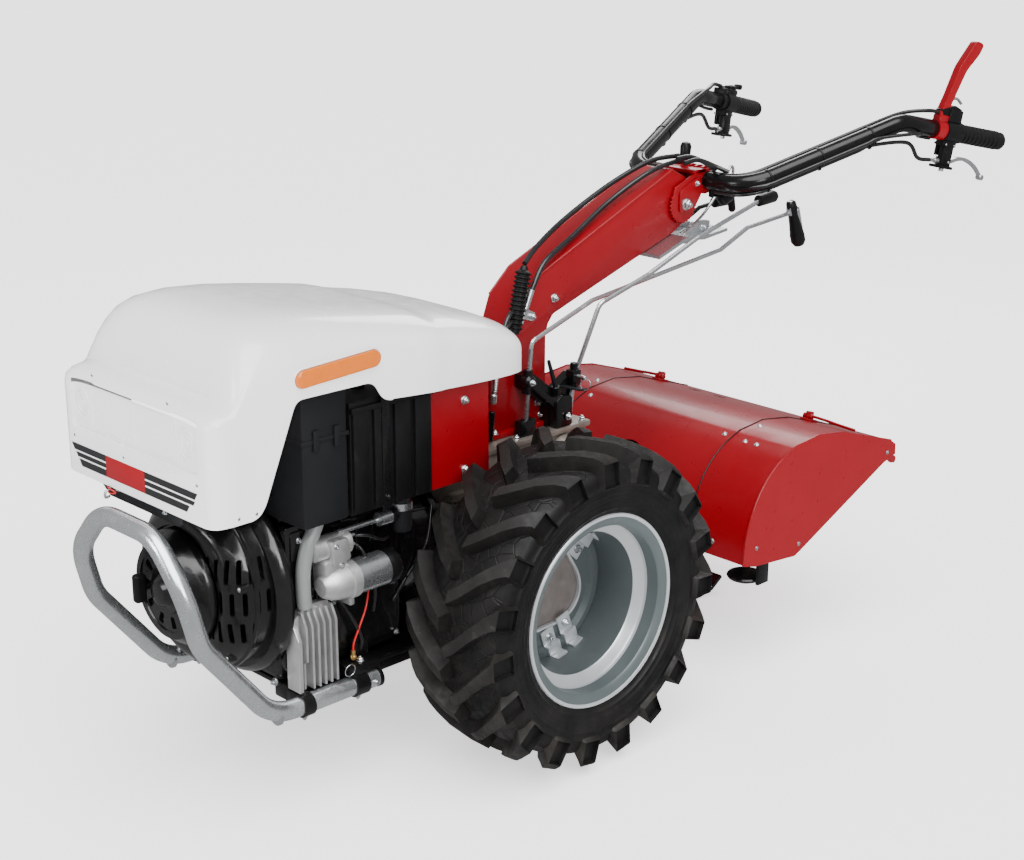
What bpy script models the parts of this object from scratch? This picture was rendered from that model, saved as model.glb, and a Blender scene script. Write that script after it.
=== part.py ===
"""Walking tractor with a mounted rear tiller, as separate pieces on real joints.

Metres. +X is the machine's left, -Y is forward and +Z is up. The wheels stand on Z = 0.
Positions below are measured from the wheel axle's line, and one root empty places the whole.
"""
import math

import bmesh
import bpy
from mathutils import Matrix, Vector

# ---------------------------------------------------------------- driving sizes
GAP = 0.0003                # running and seating gap between neighbouring pieces
SHEET = 0.003               # sheet steel
HOOD_WALL = 0.004           # moulded hood wall
AXLE_TO_CENTRE_Y = -0.27784  # moves the axle so that the whole machine is centred on Y = 0

# wheels
WHEEL_RADIUS = 0.290
TYRE_WIDTH = 0.210
TYRE_WALL = 0.012
WHEEL_CENTRE_X = 0.295
RIM_WIDTH = 0.178
FLANGE_RADIUS = 0.1675
BEAD_RADIUS = 0.152
WELL_RADIUS = 0.130
RIM_WALL = 0.004
DISC_RADIUS = 0.120
DISC_SHIFT_X = 0.040        # how far the disc lies inside the wheel's middle plane
DISC_THICKNESS = 0.006
HUB_RADIUS = 0.030
HUB_FLANGE_RADIUS = 0.062
HUB_FLANGE_THICKNESS = 0.010
RIM_LUG_COUNT = 3

# transmission
CASE_HALF_WIDTH = 0.085
CASE_FRONT_Y = -0.100
CASE_REAR_Y = 0.285
CASE_BOTTOM_Z = 0.190
CASE_TOP_Z = 0.500
AXLE_TUBE_RADIUS = 0.050
AXLE_TUBE_END_X = 0.160
CLUTCH_RADIUS = 0.118
CLUTCH_Z = 0.360
CLUTCH_LENGTH = 0.115

# engine
ENGINE_HALF_WIDTH_LEFT = 0.120
ENGINE_HALF_WIDTH_RIGHT = 0.165
ENGINE_LENGTH = 0.250
ENGINE_BOTTOM_Z = 0.212
ENGINE_TOP_Z = 0.500
FAN_RADIUS = 0.152
FAN_DEPTH = 0.100
FAN_CENTRE_X = -0.020
FAN_CENTRE_Z = 0.380
RECOIL_RADIUS = 0.098
RECOIL_DEPTH = 0.034
BASE_THICKNESS = 0.030

# bumper
BUMPER_TUBE_RADIUS = 0.0165
BUMPER_HALF_WIDTH = 0.150
BUMPER_RUN_Z = 0.190

# hood
HOOD_HALF_WIDTH = 0.207
HOOD_FRONT_Y = -0.652
HOOD_TAIL_Y = 0.032
HOOD_BOTTOM_Z = 0.558
HOOD_HINGE_Y = 0.000
HOOD_HINGE_Z = 0.690
HINGE_HALF_WIDTH = 0.035
HINGE_PIN_HALF_LENGTH = 0.050
HINGE_PIN_RADIUS = 0.006
PIN_CLEARANCE = 0.0005
MARKER_LENGTH = 0.165
MARKER_HEIGHT = 0.026
MARKER_THICKNESS = 0.008
MARKER_CENTRE_Y = -0.410
MARKER_CENTRE_Z = 0.762

# column and handlebar
COLUMN_WIDTH = 0.085
COLUMN_WALL = 0.004
COLUMN_FRONT_Y = 0.062
COLUMN_REAR_Y = 0.205
COLUMN_END_Y = 0.585
PIVOT_Y = 0.572
PIVOT_Z = 0.862
BAR_RADIUS = 0.0135
BAR_BEND_RADIUS = 0.045
BAR_CROSS_Y = 0.640
BAR_CROSS_Z = 0.900
GRIP_RADIUS = 0.0175
GRIP_LENGTH = 0.125
CHEEK_THICKNESS = 0.006
ROD_RADIUS = 0.0045

# tiller
TILLER_HALF_WIDTH = 0.340
TILLER_MIDDLE_HALF_WIDTH = 0.200
END_PLATE_THICKNESS = 0.004
ROTOR_Y = 0.572
ROTOR_Z = 0.300
ROTOR_RADIUS = 0.108
ROTOR_SHAFT_RADIUS = 0.022
GEAR_CASE_HALF_WIDTH = 0.045
GEAR_CASE_BOTTOM_Z = 0.206
NECK_RADIUS = 0.060
NECK_Z = 0.330
SKID_WIDTH = 0.050
FLAP_BARREL_RADIUS = 0.006
FLAP_HINGE_Y = 0.900
FLAP_HINGE_Z = 0.356

# where the blocks of the power unit meet
CLUTCH_FRONT_Y = CASE_FRONT_Y - GAP - CLUTCH_LENGTH
ENGINE_REAR_Y = CLUTCH_FRONT_Y - GAP
ENGINE_FRONT_Y = ENGINE_REAR_Y - ENGINE_LENGTH
FAN_FRONT_Y = ENGINE_FRONT_Y - GAP - FAN_DEPTH
RECOIL_FRONT_Y = FAN_FRONT_Y - GAP - RECOIL_DEPTH

ROUND = 48                  # segments round a wheel
ROUND_SMALL = 24            # segments round a boss or a cylinder
SMOOTH_ANGLE = math.radians(35)

FINISHES = {
    "hood_white": ((0.83, 0.84, 0.84), 0.16, 0.0),
    "red_paint": ((0.52, 0.012, 0.014), 0.22, 0.0),
    "black_paint": ((0.012, 0.012, 0.013), 0.32, 0.0),
    "black_plastic": ((0.016, 0.016, 0.017), 0.45, 0.0),
    "dark_plastic": ((0.035, 0.037, 0.040), 0.55, 0.0),
    "tyre_rubber": ((0.018, 0.018, 0.018), 0.72, 0.0),
    "grip_rubber": ((0.014, 0.014, 0.014), 0.62, 0.0),
    "rim_silver": ((0.50, 0.51, 0.52), 0.33, 0.6),
    "hub_grey": ((0.17, 0.155, 0.15), 0.55, 0.2),
    "zinc": ((0.58, 0.60, 0.62), 0.28, 0.95),
    "cast_aluminium": ((0.42, 0.41, 0.39), 0.48, 0.8),
    "cast_brown": ((0.23, 0.20, 0.175), 0.58, 0.3),
    "amber": ((0.90, 0.27, 0.01), 0.25, 0.0),
    "steel": ((0.45, 0.45, 0.45), 0.35, 0.9),
}

pivots = {}


def clear_scene():
    for existing in list(bpy.data.objects):
        bpy.data.objects.remove(existing, do_unlink=True)


def node_material(name, finish):
    color, roughness, metallic = FINISHES[finish]
    material = bpy.data.materials.new(name)
    material.use_nodes = True
    shader = material.node_tree.nodes["Principled BSDF"]
    shader.inputs["Base Color"].default_value = (*color, 1.0)
    shader.inputs["Roughness"].default_value = roughness
    shader.inputs["Metallic"].default_value = metallic
    material.diffuse_color = (*color, 1.0)
    return material


def add_pivot(name, location, parent=None):
    """An empty on a joint's axis. Its children keep coordinates measured from the axle."""
    empty = bpy.data.objects.new(name, None)
    bpy.context.collection.objects.link(empty)
    empty.location = location
    empty.parent = parent
    pivots[name] = empty
    return empty


def place(obj, finish, pivot_name):
    """Give a finished shape its material and hang it on its joint's empty."""
    obj.data.materials.clear()
    obj.data.materials.append(node_material(obj.name, finish))
    pivot = pivots[pivot_name]
    obj.parent = pivot
    if pivot_name != "machine":
        obj.location = -pivot.location
    return obj


# ---------------------------------------------------------------- shape helpers
def mesh_object(name, bm, smooth=True):
    bmesh.ops.recalc_face_normals(bm, faces=bm.faces)
    mesh = bpy.data.meshes.new(name)
    bm.to_mesh(mesh)
    bm.free()
    if smooth:
        shade(mesh)
    obj = bpy.data.objects.new(name, mesh)
    bpy.context.collection.objects.link(obj)
    return obj


def shade(mesh):
    for polygon in mesh.polygons:
        polygon.use_smooth = True
    mesh.set_sharp_from_angle(angle=SMOOTH_ANGLE)


def box(name, low, high, bevel=0.0, segments=2):
    bm = bmesh.new()
    size = [high[i] - low[i] for i in range(3)]
    centre = [(high[i] + low[i]) / 2 for i in range(3)]
    bmesh.ops.create_cube(bm, size=1.0)
    bmesh.ops.scale(bm, vec=size, verts=bm.verts)
    bmesh.ops.translate(bm, vec=centre, verts=bm.verts)
    if bevel:
        bmesh.ops.bevel(bm, geom=list(bm.edges), offset=bevel, segments=segments,
                        profile=0.5, affect="EDGES")
    return mesh_object(name, bm)


def on_axis(axis, along, across, up):
    """A point from a distance along an axis and two distances across it."""
    if axis == "X":
        return Vector((along, across, up))
    if axis == "Y":
        return Vector((across, along, up))
    return Vector((across, up, along))


def prism(name, outline, axis, low, high, bevel=0.0):
    """Extrude a closed outline. For X it is (y, z), for Y it is (x, z), for Z it is (x, y)."""
    bm = bmesh.new()
    ends = []
    for along in (low, high):
        ends.append([bm.verts.new(on_axis(axis, along, u, v)) for u, v in outline])
    bm.faces.new(ends[0])
    bm.faces.new(reversed(ends[1]))
    count = len(outline)
    for i in range(count):
        j = (i + 1) % count
        bm.faces.new((ends[0][i], ends[1][i], ends[1][j], ends[0][j]))
    if bevel:
        rims = [edge for edge in bm.edges if edge.verts[0] in ends[0] and edge.verts[1] in ends[0]]
        rims += [edge for edge in bm.edges if edge.verts[0] in ends[1] and edge.verts[1] in ends[1]]
        bmesh.ops.bevel(bm, geom=rims, offset=bevel, segments=2, profile=0.5, affect="EDGES")
    return mesh_object(name, bm)


def revolve(name, profile, axis, centre, segments=ROUND_SMALL, closed=False):
    """Spin (along, radius) points about an axis through centre. A solid starts and ends at radius 0."""
    bm = bmesh.new()
    rings = []
    for along, radius in profile:
        if radius < 1e-7:
            rings.append([bm.verts.new(Vector(centre) + on_axis(axis, along, 0, 0))])
            continue
        ring = []
        for k in range(segments):
            angle = 2 * math.pi * k / segments
            offset = on_axis(axis, along, radius * math.cos(angle), radius * math.sin(angle))
            ring.append(bm.verts.new(Vector(centre) + offset))
        rings.append(ring)
    pairs = list(zip(rings, rings[1:]))
    if closed:
        pairs.append((rings[-1], rings[0]))
    for first, second in pairs:
        for k in range(segments):
            n = (k + 1) % segments
            corners = [first[k % len(first)], first[n % len(first)],
                       second[n % len(second)], second[k % len(second)]]
            unique = list(dict.fromkeys(corners))
            bm.faces.new(unique)
    return mesh_object(name, bm)


def cylinder(name, axis, centre, low, high, radius, segments=ROUND_SMALL, chamfer=0.0):
    """A solid cylinder along an axis from low to high, with centre as its middle line."""
    if chamfer:
        profile = [(low, 0), (low, radius - chamfer), (low + chamfer, radius),
                   (high - chamfer, radius), (high, radius - chamfer), (high, 0)]
    else:
        profile = [(low, 0), (low, radius), (high, radius), (high, 0)]
    return revolve(name, profile, axis, centre, segments)


def combine(target, tools, operation="UNION"):
    """Join tools to the target, or cut them from it, and keep one plain mesh."""
    for tool in tools:
        modifier = target.modifiers.new("combine", "BOOLEAN")
        modifier.operation = operation
        modifier.solver = "EXACT"
        modifier.object = tool
    graph = bpy.context.evaluated_depsgraph_get()
    mesh = bpy.data.meshes.new_from_object(target.evaluated_get(graph))
    target.modifiers.clear()
    target.data = mesh
    for tool in tools:
        bpy.data.objects.remove(tool, do_unlink=True)
    shade(mesh)
    return target


def turned(obj, matrix):
    """Turn or move a shape's own mesh before it is placed."""
    obj.data.transform(matrix)
    return obj


def about(point, axis, degrees):
    """A turn about an axis through a point."""
    middle = Matrix.Translation(point)
    return middle @ Matrix.Rotation(math.radians(degrees), 4, axis) @ middle.inverted()


def bent_path(corners, bend_radius, steps=5):
    """Corner points joined by straight runs, each corner rounded to an arc."""
    points = [Vector(corners[0])]
    for before, here, after in zip(corners, corners[1:], corners[2:]):
        here = Vector(here)
        to_before = (Vector(before) - here).normalized()
        to_after = (Vector(after) - here).normalized()
        half = to_before.angle(to_after) / 2
        reach = bend_radius / math.tan(half)
        middle = here + (to_before + to_after).normalized() * (bend_radius / math.sin(half))
        start = (here + to_before * reach - middle).normalized()
        end = (here + to_after * reach - middle).normalized()
        for step in range(steps + 1):
            points.append(middle + start.slerp(end, step / steps) * bend_radius)
    points.append(Vector(corners[-1]))
    return points


def smooth_path(knots, per_span=5):
    """A smooth curve through the route's own points."""
    knots = [Vector(knot) for knot in knots]
    padded = [2 * knots[0] - knots[1], *knots, 2 * knots[-1] - knots[-2]]
    points = []
    for a, b, c, d in zip(padded, padded[1:], padded[2:], padded[3:]):
        for step in range(per_span):
            t = step / per_span
            points.append(0.5 * (2 * b + (c - a) * t + (2 * a - 5 * b + 4 * c - d) * t * t
                                 + (3 * b - a - 3 * c + d) * t ** 3))
    points.append(knots[-1])
    return points


def tube(name, points, radius, resolution=2):
    """A round solid bar along a list of points."""
    curve = bpy.data.curves.new(name, "CURVE")
    curve.dimensions = "3D"
    curve.bevel_depth = radius
    curve.bevel_resolution = resolution
    curve.render_resolution_u = curve.resolution_u
    curve.use_fill_caps = True
    spline = curve.splines.new("POLY")
    spline.points.add(len(points) - 1)
    for spline_point, point in zip(spline.points, points):
        spline_point.co = (*point, 1.0)
    obj = bpy.data.objects.new(name, curve)
    bpy.context.collection.objects.link(obj)
    return obj


def tube_mesh(name, points, radius, resolution=2):
    """The same bar as a mesh, to be combined with other shapes."""
    curve_object = tube(name + "_curve", points, radius, resolution)
    graph = bpy.context.evaluated_depsgraph_get()
    mesh = bpy.data.meshes.new_from_object(curve_object.evaluated_get(graph))
    bm = bmesh.new()
    bm.from_mesh(mesh)
    bmesh.ops.remove_doubles(bm, verts=bm.verts, dist=0.00001)
    bpy.data.objects.remove(curve_object, do_unlink=True)
    return mesh_object(name, bm)


# ---------------------------------------------------------------- wheels
def mirrored(profile, side):
    return [(along * side, radius) for along, radius in profile]


def tyre_profile():
    """Half of the tyre's section, outside then inside, as (distance from its middle, radius)."""
    half = TYRE_WIDTH / 2
    seat = BEAD_RADIUS + GAP
    bead = RIM_WIDTH / 2 - RIM_WALL - GAP
    outside = [(bead, seat), (bead, FLANGE_RADIUS + 0.004), (half - 0.009, FLANGE_RADIUS + 0.018),
               (half - 0.001, 0.208), (half, 0.232), (half - 0.003, 0.256),
               (half - 0.010, WHEEL_RADIUS - 0.014), (half - 0.022, WHEEL_RADIUS - 0.003),
               (half - 0.050, WHEEL_RADIUS)]
    inside = [(half - 0.060, WHEEL_RADIUS - 0.024), (half - 0.030, WHEEL_RADIUS - 0.032),
              (half - TYRE_WALL - 0.004, 0.245), (half - TYRE_WALL, 0.220),
              (half - TYRE_WALL - 0.004, 0.195), (bead - 0.016, FLANGE_RADIUS + 0.006),
              (bead - 0.018, seat)]
    return outside, inside


def build_wheel(side, label):
    pivot_name = label + "_wheel_axis"
    centre = (side * WHEEL_CENTRE_X, 0, WHEEL_RADIUS)
    outside, inside = tyre_profile()
    far = [(-along, radius) for along, radius in outside]
    far_inside = [(-along, radius) for along, radius in inside]
    section = outside + far[::-1] + far_inside[::-1] + inside
    place(revolve(label + "_tyre", section, "X", centre, ROUND, closed=True), "tyre_rubber", pivot_name)

    edge = RIM_WIDTH / 2
    outer = [(edge, FLANGE_RADIUS), (edge - RIM_WALL, FLANGE_RADIUS), (edge - RIM_WALL, BEAD_RADIUS),
             (edge - 0.032, BEAD_RADIUS - 0.003), (edge - 0.046, WELL_RADIUS)]
    inner = [(edge - 0.050, WELL_RADIUS - RIM_WALL), (edge - 0.036, BEAD_RADIUS - 0.003 - RIM_WALL),
             (edge - 0.002, BEAD_RADIUS - RIM_WALL)]
    rim_outer = outer + [(-along, radius) for along, radius in reversed(outer)]
    rim_inner = [(-along, radius) for along, radius in reversed(inner)] + inner
    rim = revolve(label + "_rim", rim_outer + rim_inner, "X", centre, ROUND, closed=True)

    disc_outer_x = side * (WHEEL_CENTRE_X - DISC_SHIFT_X)
    disc_inner_x = disc_outer_x - side * DISC_THICKNESS
    lugs = []
    for k in range(RIM_LUG_COUNT):
        low_x = disc_outer_x + side * GAP
        high_x = low_x + side * 0.005
        lug = box("lug", (min(low_x, high_x), -0.020, WHEEL_RADIUS + DISC_RADIUS - 0.024),
                  (max(low_x, high_x), 0.020, WHEEL_RADIUS + WELL_RADIUS - RIM_WALL / 2))
        lugs.append(turned(lug, about(centre, "X", 360 * k / RIM_LUG_COUNT + 20)))
    place(combine(rim, lugs), "rim_silver", pivot_name)

    low, high = sorted((disc_inner_x, disc_outer_x))
    disc = revolve(label + "_wheel_disc",
                   [(low, 0), (low, DISC_RADIUS), (high, DISC_RADIUS), (high, 0)],
                   "X", (0, 0, WHEEL_RADIUS), ROUND)
    place(disc, "rim_silver", pivot_name)

    flange_outer = disc_inner_x - side * GAP
    flange_inner = flange_outer - side * HUB_FLANGE_THICKNESS
    stub_inner = side * (AXLE_TUBE_END_X + GAP)
    hub_profile = [(flange_outer, 0), (flange_outer, HUB_FLANGE_RADIUS), (flange_inner, HUB_FLANGE_RADIUS),
                   (flange_inner, HUB_RADIUS), (stub_inner, HUB_RADIUS), (stub_inner, 0)]
    place(revolve(label + "_hub", hub_profile, "X", (0, 0, WHEEL_RADIUS)), "hub_grey", pivot_name)


# ---------------------------------------------------------------- transmission and engine
def build_transmission():
    half = CASE_HALF_WIDTH
    case = box("transmission_case", (-half, CASE_FRONT_Y, CASE_BOTTOM_Z), (half, CASE_REAR_Y, CASE_TOP_Z),
               bevel=0.012)
    axle = cylinder("axle", "X", (0, 0, WHEEL_RADIUS), -AXLE_TUBE_END_X, AXLE_TUBE_END_X,
                    AXLE_TUBE_RADIUS)
    boss = cylinder("boss", "X", (0, 0.215, 0.452), -half - 0.015, half + 0.022, 0.030)
    rib = box("rib", (-half - 0.008, CASE_FRONT_Y + 0.03, 0.425), (half + 0.008, CASE_REAR_Y - 0.03, 0.440))
    place(combine(case, [axle, boss, rib]), "cast_brown", "machine")

    clutch = revolve("clutch_housing",
                     [(CLUTCH_FRONT_Y, 0), (CLUTCH_FRONT_Y, CLUTCH_RADIUS),
                      (CLUTCH_FRONT_Y + 0.02, CLUTCH_RADIUS), (CASE_FRONT_Y - GAP - 0.02, 0.095),
                      (CASE_FRONT_Y - GAP, 0.095), (CASE_FRONT_Y - GAP, 0)],
                     "Y", (0, 0, CLUTCH_Z))
    place(clutch, "black_paint", "machine")


def build_engine():
    left = ENGINE_HALF_WIDTH_LEFT
    right = -ENGINE_HALF_WIDTH_RIGHT
    block = box("engine_block", (right, ENGINE_FRONT_Y, ENGINE_BOTTOM_Z), (left, ENGINE_REAR_Y, ENGINE_TOP_Z),
                bevel=0.010)
    place(block, "black_paint", "machine")

    fan_centre = (FAN_CENTRE_X, 0, FAN_CENTRE_Z)
    fan = revolve("fan_housing",
                  [(FAN_FRONT_Y, 0), (FAN_FRONT_Y, FAN_RADIUS - 0.030), (FAN_FRONT_Y + 0.022, FAN_RADIUS - 0.004),
                   (FAN_FRONT_Y + 0.040, FAN_RADIUS), (ENGINE_FRONT_Y - GAP, FAN_RADIUS),
                   (ENGINE_FRONT_Y - GAP, 0)],
                  "Y", fan_centre, ROUND)
    place(fan, "black_paint", "machine")

    recoil = revolve("recoil_cover",
                     [(RECOIL_FRONT_Y - 0.016, 0), (RECOIL_FRONT_Y - 0.016, 0.020), (RECOIL_FRONT_Y, 0.024),
                      (RECOIL_FRONT_Y, RECOIL_RADIUS - 0.014), (RECOIL_FRONT_Y + 0.012, RECOIL_RADIUS),
                      (FAN_FRONT_Y - GAP, RECOIL_RADIUS), (FAN_FRONT_Y - GAP, 0)],
                     "Y", fan_centre, ROUND_SMALL)
    place(recoil, "black_paint", "machine")

    base_half = BUMPER_HALF_WIDTH - BUMPER_TUBE_RADIUS - GAP
    base = box("engine_base", (-base_half, ENGINE_FRONT_Y + 0.005, ENGINE_BOTTOM_Z - GAP - BASE_THICKNESS),
               (base_half, CASE_FRONT_Y - GAP, ENGINE_BOTTOM_Z - GAP), bevel=0.003, segments=1)
    place(base, "black_paint", "machine")


def build_engine_fittings():
    """Small units on the engine's left side, each seated on the block's side face."""
    side_x = ENGINE_HALF_WIDTH_LEFT + GAP

    starter_radius = 0.030
    starter_centre = (side_x + starter_radius, 0, 0.383)
    starter = revolve("starter_motor",
                      [(-0.405, 0), (-0.405, 0.018), (-0.392, 0.026), (-0.345, 0.028), (-0.340, starter_radius),
                       (-0.232, starter_radius), (-0.226, starter_radius - 0.006), (-0.226, 0)],
                      "Y", starter_centre)
    place(starter, "cast_aluminium", "machine")

    solenoid_radius = 0.020
    solenoid = cylinder("starter_solenoid", "Y", (side_x + solenoid_radius, 0, 0.446), -0.425, -0.350,
                        solenoid_radius, chamfer=0.003)
    place(solenoid, "cast_aluminium", "machine")

    pipe_radius = 0.012
    pipe_x = side_x + pipe_radius
    pipe_route = [(pipe_x, -0.440, 0.384), (pipe_x, -0.452, 0.420), (pipe_x, -0.446, 0.458),
                  (pipe_x, -0.424, 0.480), (pipe_x, -0.395, 0.484)]
    place(tube("intake_pipe", smooth_path(pipe_route, 4), pipe_radius, 2), "cast_aluminium", "machine")

    fin_count = 7
    fin_pitch = 0.012
    fin_root_x = side_x + 0.012
    fin_tip_x = side_x + 0.034
    start_y = ENGINE_FRONT_Y + 0.003
    outline = [(side_x, start_y)]
    for k in range(fin_count):
        fin_y = start_y + k * fin_pitch
        outline += [(fin_root_x, fin_y), (fin_tip_x, fin_y), (fin_tip_x, fin_y + fin_pitch * 0.4),
                    (fin_root_x, fin_y + fin_pitch * 0.4)]
    outline.append((side_x, start_y + fin_count * fin_pitch - fin_pitch * 0.6))
    outline = [outline[0], *outline[2:-2], outline[-2], outline[-1]]
    place(prism("regulator", outline, "Z", 0.212, 0.346), "cast_aluminium", "machine")

    dipstick_x = side_x + 0.011
    dipstick = revolve("dipstick",
                       [(-0.372, 0), (-0.372, 0.0045), (-0.276, 0.0045), (-0.275, 0.011), (-0.258, 0.011),
                        (-0.256, 0.008), (-0.256, 0)],
                       "Y", (dipstick_x, 0, 0.478), 12)
    place(dipstick, "zinc", "machine")

    filter_radius = 0.019
    fuel_filter = revolve("fuel_filter",
                          [(0.428, 0), (0.428, 0.013), (0.438, filter_radius), (0.478, filter_radius),
                           (0.492, 0.013), (0.492, 0)],
                          "Z", (side_x + filter_radius, -0.232, 0), 16)
    place(fuel_filter, "zinc", "machine")

    muffler = cylinder("muffler", "Y", (-ENGINE_HALF_WIDTH_RIGHT - GAP - 0.034, 0, 0.420), -0.455, -0.305,
                       0.034, chamfer=0.008)
    place(muffler, "steel", "machine")


def build_under_hood():
    top = ENGINE_TOP_Z + GAP
    air_box = box("air_filter_box", (-0.030, ENGINE_FRONT_Y + 0.002, top), (0.178, -0.372, 0.722), bevel=0.008)
    place(air_box, "dark_plastic", "machine")

    battery = box("battery", (0.046, -0.368, top), (0.184, ENGINE_REAR_Y + 0.020, 0.690), bevel=0.004, segments=1)
    place(battery, "black_plastic", "machine")

    tank = box("fuel_tank", (-0.178, ENGINE_FRONT_Y + 0.060, top), (-0.036, ENGINE_REAR_Y + 0.020, 0.700), bevel=0.018)
    place(tank, "black_plastic", "machine")

    half = 0.172
    wall_front_y = ENGINE_REAR_Y + 0.024
    wall_rear_y = -0.062
    support_bottom = CASE_TOP_Z + GAP
    outline = [(-half, wall_front_y), (-half, wall_rear_y), (half, wall_rear_y), (half, wall_front_y),
               (half - SHEET, wall_front_y), (half - SHEET, wall_rear_y - SHEET),
               (-half + SHEET, wall_rear_y - SHEET), (-half + SHEET, wall_front_y)]
    place(prism("rear_panel", outline, "Z", support_bottom, 0.668), "red_paint", "machine")

    bracket_z = FAN_CENTRE_Z + FAN_RADIUS + GAP
    lip_front = HOOD_FRONT_Y + HOOD_WALL + 0.0055
    outline = [(lip_front, bracket_z - 0.020), (lip_front, bracket_z + 0.006),
               (ENGINE_FRONT_Y, bracket_z + 0.006), (ENGINE_FRONT_Y, bracket_z),
               (lip_front + 0.004, bracket_z), (lip_front + 0.004, bracket_z - 0.020)]
    place(prism("hood_latch_bracket", outline, "X", -0.130, 0.090), "black_paint", "machine")


def build_bumper():
    half = BUMPER_HALF_WIDTH
    left = [(half, -0.300, BUMPER_RUN_Z), (half, -0.520, BUMPER_RUN_Z), (half, -0.650, 0.352),
            (half - 0.002, -0.672, 0.440), (half - 0.075, -0.672, 0.520)]
    right = [(-x, y, z) for x, y, z in reversed(left)]
    place(tube("bumper", bent_path(left + right, 0.050, 5), BUMPER_TUBE_RADIUS, 4), "zinc", "machine")


# ---------------------------------------------------------------- hood
def hood_section(half_width, bottom_z, shoulder_z, top_z, steps=9):
    """One cross-section from the left lower edge over the top to the right lower edge."""
    left = [(half_width, bottom_z), (half_width, 0.640), (half_width, 0.690)]
    for k in range(steps + 1):
        angle = math.pi / 2 * k / steps
        across = half_width * math.cos(angle) ** 0.42
        left.append((across, shoulder_z + (top_z - shoulder_z) * math.sin(angle) ** 0.95))
    right = [(-x, z) for x, z in reversed(left[:-1])]
    return left + right


def hood_form(name, stations):
    """A closed solid through cross-sections at (y, half width, bottom, shoulder, top)."""
    bm = bmesh.new()
    rows = []
    for y, *sizes in stations:
        rows.append([bm.verts.new((x, y, z)) for x, z in hood_section(*sizes)])
    for first, second in zip(rows, rows[1:]):
        count = len(first)
        for k in range(count):
            n = (k + 1) % count
            bm.faces.new((first[k], second[k], second[n], first[n]))
    bm.faces.new(rows[0])
    bm.faces.new(reversed(rows[-1]))
    return mesh_object(name, bm)


def build_hood():
    half = HOOD_HALF_WIDTH
    front = HOOD_FRONT_Y
    bottom = HOOD_BOTTOM_Z
    stations = [
        (front, half - 0.020, bottom, 0.700, 0.716), (front + 0.006, half - 0.007, bottom, 0.712, 0.728),
        (front + 0.020, half, bottom, 0.716, 0.738), (front + 0.044, half, bottom, 0.718, 0.742),
        (front + 0.052, half - 0.002, bottom, 0.728, 0.766), (front + 0.075, half - 0.002, bottom, 0.752, 0.818),
        (front + 0.100, half - 0.002, bottom, 0.768, 0.840), (front + 0.150, half - 0.002, bottom, 0.776, 0.848),
        (front + 0.230, half - 0.002, bottom, 0.776, 0.842), (front + 0.320, half - 0.002, bottom, 0.774, 0.828),
        (front + 0.420, half - 0.006, bottom, 0.764, 0.810), (front + 0.520, half - 0.014, bottom, 0.742, 0.788),
        (front + 0.600, half - 0.026, bottom, 0.718, 0.766), (front + 0.655, half - 0.038, bottom, 0.704, 0.748),
        (HOOD_TAIL_Y, half - 0.052, bottom, 0.698, 0.734),
    ]
    hood = hood_form("hood", stations)
    middle_y = (front + HOOD_TAIL_Y) / 2
    inner_stations = []
    for y, half_width, low_z, shoulder, top in stations:
        inner_y = y + math.copysign(HOOD_WALL, middle_y - y)
        inner_stations.append((inner_y, half_width - HOOD_WALL, low_z - 0.050, shoulder - HOOD_WALL,
                               top - HOOD_WALL))
    inside = hood_form("inside", inner_stations)
    mouth = [(front + 0.090, 0.500), (front + 0.090, 0.560), (front + 0.160, 0.730), (front + 0.316, 0.726),
             (front + 0.336, 0.694), (HOOD_TAIL_Y + 0.050, 0.655), (HOOD_TAIL_Y + 0.050, 0.500)]
    cutter = prism("cutter", mouth, "X", -0.4, 0.4)
    notch_half = HINGE_HALF_WIDTH + 0.003
    notch = box("notch", (-notch_half, HOOD_TAIL_Y - 0.010, 0.500), (notch_half, HOOD_TAIL_Y + 0.010, 0.712))
    combine(hood, [inside, cutter, notch], "DIFFERENCE")
    ears = []
    bores = []
    for side in (1, -1):
        near_x = side * (HINGE_HALF_WIDTH + 0.004)
        far_x = side * (HINGE_PIN_HALF_LENGTH - 0.003)
        ears.append(box("ear", (min(near_x, far_x), HOOD_HINGE_Y - 0.014, HOOD_HINGE_Z - 0.012),
                        (max(near_x, far_x), HOOD_HINGE_Y + 0.014, 0.7375)))
        bores.append(cylinder("bore", "X", (0, HOOD_HINGE_Y, HOOD_HINGE_Z), min(near_x, far_x) - 0.005,
                              max(near_x, far_x) + 0.005, HINGE_PIN_RADIUS + PIN_CLEARANCE, 16))
    combine(hood, ears)
    place(combine(hood, bores, "DIFFERENCE"), "hood_white", "hood_axis")

    for side, label in ((1, "left"), (-1, "right")):
        near_x = side * (HOOD_HALF_WIDTH - 0.002 + GAP)
        far_x = near_x + side * MARKER_THICKNESS
        marker = box(label + "_side_marker",
                     (min(near_x, far_x), MARKER_CENTRE_Y - MARKER_LENGTH / 2, MARKER_CENTRE_Z - MARKER_HEIGHT / 2),
                     (max(near_x, far_x), MARKER_CENTRE_Y + MARKER_LENGTH / 2, MARKER_CENTRE_Z + MARKER_HEIGHT / 2),
                     bevel=0.003)
        place(marker, "amber", "hood_axis")


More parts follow.
